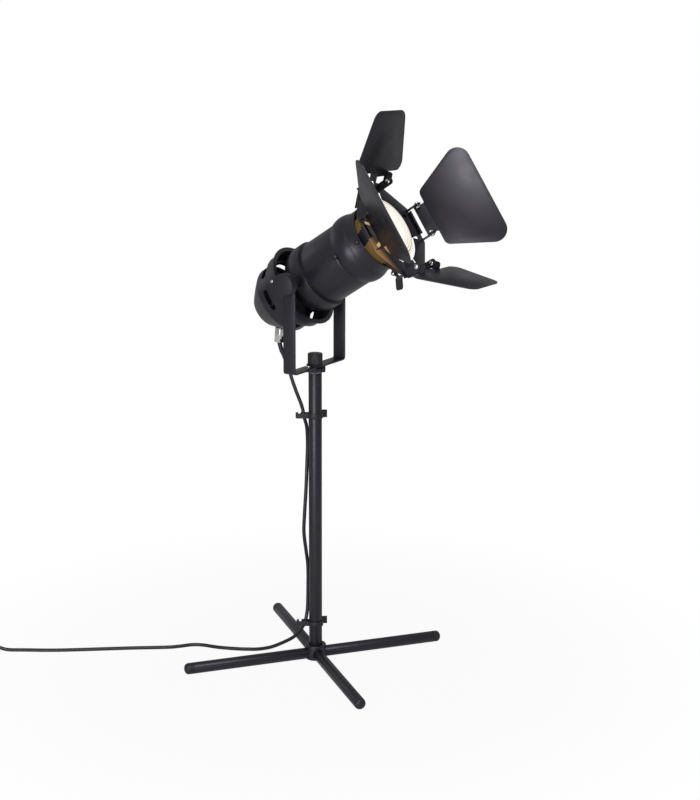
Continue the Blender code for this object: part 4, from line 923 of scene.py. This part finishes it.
def plate_pieces(finishes):
    """The eight-sided plate with its notched opening, its ears and the hinge screws."""
    low = plate_station - plate_sheet / 2
    high = plate_station + plate_sheet / 2
    corners = []
    for turn in range(4):
        for y in (-0.0225, 0.0225):
            spot = Matrix.Rotation(math.pi / 2 * turn, 2) @ Vector((plate_half, y))
            corners.append((spot.x, spot.y, 0.0020))
    blank = slab(rounded(corners, 4), low, high)
    blank = cut_out(blank, rod_blank(plate_hole, low - gap, high + gap, 112))
    for turn in range(4):
        for lean in (-17.5, 17.5):
            notch = slab([(plate_hole - 0.004, -0.0021), (plate_hole + 0.0100, -0.0021),
                          (plate_hole + 0.0100, 0.0021), (plate_hole - 0.004, 0.0021)], low - gap, high + gap)
            swing = Matrix.Rotation(math.pi / 2 * turn + math.radians(lean), 4, "Z")
            blank = cut_out(blank, moved(notch, swing))
    soften(blank, 0.00025, 60.0)
    for turn in range(4):
        for side in (-1, 1):
            half = 0.0045
            top = plate_station + hinge_stand
            corners = [(hinge_reach - half, low, 0), (hinge_reach + half, low, 0),
                       (hinge_reach + half, top + half, half * 0.9),
                       (hinge_reach - half, top + half, half * 0.9)]
            ear = slab(rounded(corners, 8), -plate_sheet / 2, plate_sheet / 2)
            soften(ear, 0.00015, 60.0, 1)
            swing = Matrix.Rotation(math.pi / 2 * turn, 4, "Z")
            blank = both(blank, moved(ear, swing @ Matrix.Translation((0, side * ear_offset, 0)) @ ON_EDGE))
    # The plate wears the black paint with the painted warm lamp glow by its opening.
    fit("door_plate", blank, "head", finishes["paint_with_painted_glow"], plate_frame(0), ["barn_door_plate"])
    for turn, name in enumerate(("far", "top", "near", "bottom")):
        for index, side in ((1, -1), (2, 1)):
            stack = plate_sheet / 2 + gap * 2 + 0.0010
            shaft = rod_blank(0.0015, -plate_sheet / 2 - gap, stack, 20)
            head = moved(pan_head(0.0028, 0.0020), Matrix.Translation((0, 0, -plate_sheet / 2 - gap))
                         @ Matrix.Rotation(math.pi, 4, "X"))
            nut = soften(hex_blank(0.0050, stack, stack + 0.0020), 0.0003)
            place = plate_frame(turn) @ along((0, -side, 0),
                                              (hinge_reach, side * ear_offset, plate_station + hinge_stand))
            fit(f"hinge_bolt_{name}_{index}", both(shaft, head, nut), "head", finishes["plate"], place,
                [f"hinge_screw_{name}_{index}"])


# Barn doors, each as (turn, angle, half width, shoulder, shift, root, reach, corner, shoulder round)
doors = {
    "far": (0, 28.0, 0.0695, 0.0346, -0.0022, 0.0085, 0.0800, 0.0150, 0.0080),
    "top": (1, 44.0, 0.0326, 0.0540, 0.0014, 0.0100, 0.0805, 0.0140, 0.0100),
    "near": (2, 47.5, 0.0695, 0.0376, -0.0022, 0.0085, 0.0800, 0.0150, 0.0080),
    "bottom": (3, 42.0, 0.0326, 0.0540, -0.0012, 0.0100, 0.0805, 0.0140, 0.0100),
}


def door_pieces(finishes):
    """Four flat leaves, each with two tabs bent back to its hinge screws."""
    neck, sheet, offset = 0.0183, 0.0010, 0.0048
    for name, (turn, angle, half, shoulder, shift, root, reach, corner, round_) in doors.items():
        narrow = shoulder > half
        neck_end = -0.0108 if name == "near" else -0.0052
        outline = [(neck, neck_end, 0), (neck, root, 0.0015), (shoulder + shift, root, round_),
                   (half + shift, reach, corner), (shift - half, reach, corner), (shift - shoulder, root, round_),
                   (-neck, root, 0.0015), (-neck, neck_end, 0)]
        if narrow:
            leg = neck - 0.0040
            outline += [(-leg, neck_end, 0), (-leg, 0.0049, 0), (leg, 0.0049, 0), (leg, neck_end, 0)]
        leaf = slab(rounded(outline, 10), offset - sheet / 2, offset + sheet / 2)
        moved(soften(leaf, 0.0002, 60.0), Matrix(((0, 0, 1, 0), (1, 0, 0, 0), (0, 1, 0, 0), (0, 0, 0, 1))))
        edge = 0.0033
        tab_reach = 0.0105 if narrow else edge
        for side in (-1, 1):
            corners = [(-edge, -edge, edge * 0.8), (offset, -edge, 0), (offset, tab_reach, 0),
                       (-edge, tab_reach, edge * 0.8)]
            tab = soften(slab(rounded(corners, 8), neck - sheet, neck), 0.00015, 60.0, 1)
            leaf = both(leaf, stood(tab, side))
        place = (plate_frame(turn) @ Matrix.Translation((hinge_reach, 0, plate_station + hinge_stand))
                 @ Matrix.Rotation(math.radians(angle), 4, "Y"))
        fit(f"door_leaf_{name}", leaf, f"door_{name}", finishes["paint"], place, [f"door_{name}"])


clip_sheet = 0.0010
clip_root = 0.0880
clip_lip = 0.0045
clip_room = 0.0024
latch_pivot = (0.0471, 0.0998)
latch_half = 0.0078
latch_cheek = 0.0094
latch_lug = 0.0026


def clip_path(width, drop):
    """From inside the can's rim out to the plate's edge and round it, as (x, z, bend radius)."""
    bore = tube_radius - groove / 2 - can_wall - gap
    inside = math.sqrt(bore ** 2 - (width / 2) ** 2) - clip_sheet / 2
    behind = plate_station - plate_sheet / 2 - gap - clip_sheet / 2
    edge = plate_half + drop + gap + clip_sheet / 2
    front = plate_station + plate_sheet / 2 + clip_room + clip_sheet / 2
    return [(inside, clip_root, 0), (inside, can_front + clip_sheet, 0.002), (edge - clip_lip, behind, 0.0015),
            (edge, behind, 0.0012), (edge, front, 0.0012), (edge - clip_lip, front, 0)]


def clip_pieces(finishes):
    """Four bent clips from the can's rim to the plate's edge; the lower one carries the latch."""
    for name, turn, width in (("far", 0, 0.029), ("top", 1, 0.033), ("near", 2, 0.016), ("bottom", 3, 0.033)):
        drop = plate_drop * (0, -1, 0, 1)[turn]
        clip = soften(bent(clip_path(width, drop), clip_sheet, width / 2), 0.0002, 60.0, 1)
        if name in ("top", "bottom"):
            root, tip, edge = (Vector(spot[:2]) for spot in clip_path(width, drop)[1:4])
            flare = bent([(*root.lerp(tip, 0.22), 0), (*tip, 0.0015), (*tip.lerp(edge, 0.85), 0)],
                         clip_sheet * 0.8, 0.0240)
            clip = both(clip, soften(flare, 0.0002, 60.0, 1))
        if name == "bottom":
            root, tip = (Vector(spot[:2]) for spot in clip_path(width, drop)[1:3])
            run = (tip - root).normalized()
            pivot = Vector(latch_pivot)
            near = root + run * (pivot - root).dot(run)
            out = (pivot - near).normalized()
            lug = latch_lug
            for side in (-1, 1):
                corners = [near - run * lug, near + run * lug, pivot + run * lug + out * lug * 0.6,
                           pivot + out * lug, pivot - run * lug + out * lug * 0.6]
                cheek = slab([tuple(spot) for spot in corners], latch_cheek, latch_cheek + clip_sheet)
                clip = both(clip, soften(stood(cheek, side), 0.0002, 50.0, 1))
        fit(f"plate_clip_{name}", clip, "head", finishes["paint"],
            HEAD @ Matrix.Rotation(math.pi / 2 * turn, 4, "Z"), [f"holder_clip_{name}"])


def latch_pieces(finishes):
    """The latch that swings under the lower clip on a bright pin."""
    place = HEAD @ Matrix.Rotation(-math.pi / 2, 4, "Z")
    path = [(0.0555, 0.1125, 0), (0.0523, 0.1030, 0.003), (0.0535, 0.0985, 0.002), (0.0655, 0.0924, 0)]
    tab = bent(path, clip_sheet, latch_half)
    ends = [edge for edge in tab.edges if abs(edge.verts[0].co.y - edge.verts[1].co.y) < gap
            and all(vert.co.x > 0.0640 for vert in edge.verts) and all(abs(vert.co.y) > latch_half - gap
                                                                       for vert in edge.verts)
            and (edge.verts[0].co - edge.verts[1].co).length < clip_sheet * 1.5]
    soften(bevelled(tab, ends, 0.0035, 6), 0.0002, 60.0, 1)
    lug = latch_lug
    for side in (-1, 1):
        cheek = slab([(latch_pivot[0] - lug, latch_pivot[1] - lug), (latch_pivot[0] - lug, latch_pivot[1] + lug),
                      (0.0525, 0.1043), (0.0529, 0.1004)], latch_half - 0.0012, latch_half - 0.0002)
        tab = both(tab, soften(stood(cheek, side), 0.0002, 50.0, 1))
    fit("latch_tab", tab, "latch", finishes["paint"], place, ["latch"])
    half = latch_cheek + clip_sheet * 2
    pin = soften(rod_blank(0.0015, -half, half, 24), 0.0004)
    fit("latch_pin", pin, "latch", finishes["plate"],
        place @ along((0, 1, 0), (latch_pivot[0], 0, latch_pivot[1])))


def cable_clip_pieces(finishes):
    """Sprung bands round the pole, each with a loop for the lead and a wing to open it by."""
    inner, band, half = pole_radius + gap, 0.0011, 0.0031
    outer = inner + band
    for name, height in (("upper", 0.3085), ("lower", 0.0455)):
        ring = soften(tube_blank(outer, inner, -half, half, 48), 0.0002)
        reach, side = 0.0235, 0.0042
        loop = slab(rounded([(inner, -side, 0), (reach, -side, side * 0.8), (reach, side, side * 0.8),
                             (inner, side, 0)], 8), -half, half)
        hole_side = side - band
        loop = cut_out(loop, slab(rounded([(outer - band / 2, -hole_side, 0),
                                           (reach - band, -hole_side, hole_side * 0.8),
                                           (reach - band, hole_side, hole_side * 0.8),
                                           (outer - band / 2, hole_side, 0)], 8), -half * 2, half * 2))
        loop = cut_out(loop, slab([(reach - 0.006, -side * 2), (reach - 0.003, -side * 2),
                                   (reach - 0.003, -hole_side + gap), (reach - 0.006, -hole_side + gap)],
                                  -half * 2, half * 2))
        loop = cut_out(loop, rod_blank(inner + gap, -half * 2, half * 2, 48))
        soften(loop, 0.0002, 50.0, 1)
        wing = soften(slab([(-inner * 0.2, -outer + band), (-inner * 0.2, -outer - band * 0.2),
                            (-0.0143, -outer - band * 1.2), (-0.0143, -outer)], -0.00475, 0.00475), 0.0003, 50.0)
        fit(f"pole_clip_{name}", both(ring, loop, wing), "stand", finishes["plastic"],
            LEAD @ Matrix.Translation((0, 0, height)), [f"cable_clip_{name}"])


def box_blank(length, width, low, high, edge, segments=4):
    blank = slab([(-length / 2, -width / 2), (length / 2, -width / 2), (length / 2, width / 2),
                  (-length / 2, width / 2)], low, high)
    return bevelled(blank, blank.edges[:], edge, segments)


def switch_pieces(entry, finishes):
    """The switch in the lead, its rocker, the plug with its two pins, and the tie round the coil."""
    width, height, stand, room = 0.0250, 0.0165, 0.0022, 0.0080
    place = LEAD @ Matrix.Translation((entry.x + gap + switch_length / 2, entry.y, 0))
    housing = box_blank(switch_length, width, 0.0, height, 0.0030)
    housing = cut_out(housing, box_blank(0.0190 + gap * 4, 0.0120 + gap * 2, height - room, height * 1.5,
                                         gap / 3, 1))
    fit("switch_case", housing, "stand", finishes["plastic"], place, ["switch_housing"])
    half = 0.0095
    crest = stand * 1.5
    top = []
    for step in range(13):
        share = 1 - step / 6
        top.append((half * share, crest * 0.5 + crest * 0.5 * share * share))
    rocker = slab([(-half / 2, -0.0028), (half / 2, -0.0028), (half, 0)] + top + [(-half, 0)], -0.006, 0.006)
    fit("rocker_key", moved(soften(rocker, 0.0004, 50.0), ON_EDGE), "switch_rocker", finishes["plastic"],
        place @ Matrix.Translation((0, 0, height - stand)) @ Matrix.Rotation(math.radians(7.0), 4, "Y"),
        ["switch_rocker"])
    points, centre = coil_route(entry)
    end = points[-1]
    place = LEAD @ Matrix.Translation((end.x - gap, end.y, 0)) @ Matrix.Rotation(math.pi, 4, "Z")
    long, side, nose = 0.0350, 0.0175, 0.0075
    outline = [(0, -nose, 0), (long * 0.45, -nose, 0), (long * 0.7, -side, nose * 0.4), (long, -side, 0),
               (long, side, 0), (long * 0.7, side, nose * 0.4), (long * 0.45, nose, 0), (0, nose, 0)]
    body = soften(slab(rounded(outline, 6), 0.0, plug_body_height), 0.0016, 60.0, 3)
    for pin_side in (-1, 1):
        pin = soften(rod_blank(0.0020, -0.004, 0.0190, 28), 0.0007)
        fit(f"plug_pin_{'left' if pin_side < 0 else 'right'}", pin, "stand", finishes["plate"],
            place @ along((1, 0, 0), (long, pin_side * 0.0095, plug_body_height / 2)))
    fit("plug_body", body, "stand", finishes["plastic"], place, ["mains_plug"])
    middle = coil_inner_radius + coil_pitch * coil_turns_each / 2
    tie = moved(tube_blank(0.0098, 0.0086, -0.0020, 0.0020, 40), Matrix.Diagonal((1, 0.60, 1, 1)))
    soften(tie, 0.0003)
    turn = Matrix.Rotation(math.radians(75), 4, "Z")
    seat = Matrix.Translation((centre.x, centre.y, lead_diameter / 2 + coil_layer / 2 + gap * 2))
    frame_in = turn @ Matrix.Translation((middle, 0, 0)) @ Matrix.Rotation(math.pi / 2, 4, "X")
    fit("coil_tie", tie, "stand", finishes["plastic"], LEAD @ seat @ frame_in)


def make_finishes():
    grain = make_grain()
    satin = ((0.0088, 0.0080, 0.0118), (0.0150, 0.0138, 0.0195), 1500.0, 0.00003, (0.32, 0.42), 0.55, 0.0,
             (0.92, 0.88, 1.0))
    return {
        "paint": skin("satin black paint", "black_powder_coat", grain, *satin),
        # A copy of the black paint with a painted warm glow from the lamp, for the plate.
        "paint_with_painted_glow": painted_lamp_glow(skin("satin black paint with painted lamp glow", "black_powder_coat", grain, *satin)),
        "plastic": skin("black moulded plastic", "black_plastic", grain, (0.0110, 0.0105, 0.0135),
                        (0.0175, 0.0165, 0.0205), 1100.0, 0.00002, (0.40, 0.52), 0.5, 0.0, (0.9, 0.88, 1.0)),
        "plate": skin("bright zinc plate", "bright_plate", grain, (0.66, 0.66, 0.65), (0.80, 0.79, 0.77),
                      500.0, 0.000004, (0.10, 0.18), 0.5, 1.0),
        "brass": warm_metal("metallised lamp bowl", "lamp_brass"),
        "face": lit_glass("lit lamp face", "lamp_face"),
        "braid": braided("braided sleeve", "lead_sheath", (0.010, 0.010, 0.011), (0.16, 0.16, 0.17), 3,
                         2300.0, 0.0003),
        "flex": skin("black flex", "lead_sheath", grain, (0.008, 0.008, 0.009), (0.014, 0.014, 0.015), 900.0,
                     0.00002, (0.30, 0.42)),
    }


def dress_nodes(finishes):
    """Give every CAD node that stays its own finish."""
    by_slot = {"black_powder_coat": "paint", "black_plastic": "plastic", "bright_plate": "plate",
               "lamp_brass": "brass", "lamp_bulb": "brass", "lamp_face": "face", "lead_sheath": "flex"}
    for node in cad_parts.values():
        for place in node.material_slots:
            kind = next((key for key in by_slot if place.material and key in place.material.name), None)
            place.material = finishes[by_slot.get(kind, "paint")]


def whitened(tree, lit, white, fade=1.0):
    """Plain white to the camera, glass and, in part, reflections; as lit to everything else."""
    path = node(tree, "LightPath", {}).outputs
    seen = math_node(tree, "MAXIMUM", path["Is Camera Ray"], path["Is Transmission Ray"])
    share = math_node(tree, "MAXIMUM", math_node(tree, "MULTIPLY", seen, fade),
                      math_node(tree, "MULTIPLY", path["Is Glossy Ray"], 0.24))
    mix = node(tree, "MixShader", {0: share, 1: lit.outputs[0], 2: white.outputs[0]})
    last = next(item for item in tree.nodes if item.type.startswith("OUTPUT"))
    tree.links.new(mix.outputs[0], last.inputs["Surface"])


def set_studio():
    """White floor and surroundings, a soft key and a high front light, and a faint one behind."""
    world = bpy.data.worlds.new("studio")
    studio.world = world
    world.use_nodes = True
    tree = world.node_tree
    shine = dress(tree, tree.nodes["Background"], {"Color": (1, 1, 1, 1), "Strength": 0.15})
    whitened(tree, shine, node(tree, "Background", {"Color": (1, 1, 1, 1), "Strength": 1.0}))
    mesh = bpy.data.meshes.new("floor")
    blank = bmesh.new()
    bmesh.ops.create_grid(blank, x_segments=1, y_segments=1, size=6.0)
    blank.to_mesh(mesh)
    blank.free()
    floor = bpy.data.objects.new("floor", mesh)
    studio.collection.objects.link(floor)
    paper = bpy.data.materials.new("white paper")
    paper.use_nodes = True
    tree = paper.node_tree
    shader = dress(tree, tree.nodes["Principled BSDF"], {"Base Color": (0.75, 0.75, 0.75, 1), "Roughness": 0.9})
    where = node(tree, "TexCoord", {}).outputs["Object"]
    reach = node(tree, "VectorMath", {0: where}, operation="LENGTH").outputs["Value"]
    whitened(tree, shader, node(tree, "Emission", {"Strength": 1.0}), ramp(tree, reach, 0.2, 0.55, (0.93, 1.0)))
    mesh.materials.append(paper)
    for name, spot, aim, size, power in (
            ("key", (-0.9, -2.4, 0.45), (0, 0, 0.40), 1.1, 28.0),
            ("front", (0.15, -1.5, 2.3), (0, 0, 0.10), 0.9, 24.0),
            ("back", (-1.6, 0.9, 0.9), (0, 0, 0.3), 0.7, 1.0)):
        lamp = bpy.data.lights.new(name, "AREA")
        lamp.size = size
        lamp.energy = power
        light = bpy.data.objects.new(name, lamp)
        here = SEEN @ Vector(spot)
        light.matrix_world = along(here - SEEN @ Vector(aim), here)
        studio.collection.objects.link(light)


def main():
    set_camera()
    finishes = make_finishes()
    dress_nodes(finishes)
    entry = switch_entry()
    switch_pieces(entry, finishes)
    lead_pieces(finishes)
    coil_pieces(entry, finishes)
    stand_pieces(finishes)
    yoke_pieces(finishes)
    can_pieces(finishes)
    housing_pieces(finishes)
    gland_pieces(finishes)
    lamp_pieces(finishes)
    plate_pieces(finishes)
    door_pieces(finishes)
    clip_pieces(finishes)
    latch_pieces(finishes)
    cable_clip_pieces(finishes)
    set_studio()
    studio.view_settings.view_transform = "Standard"


main()
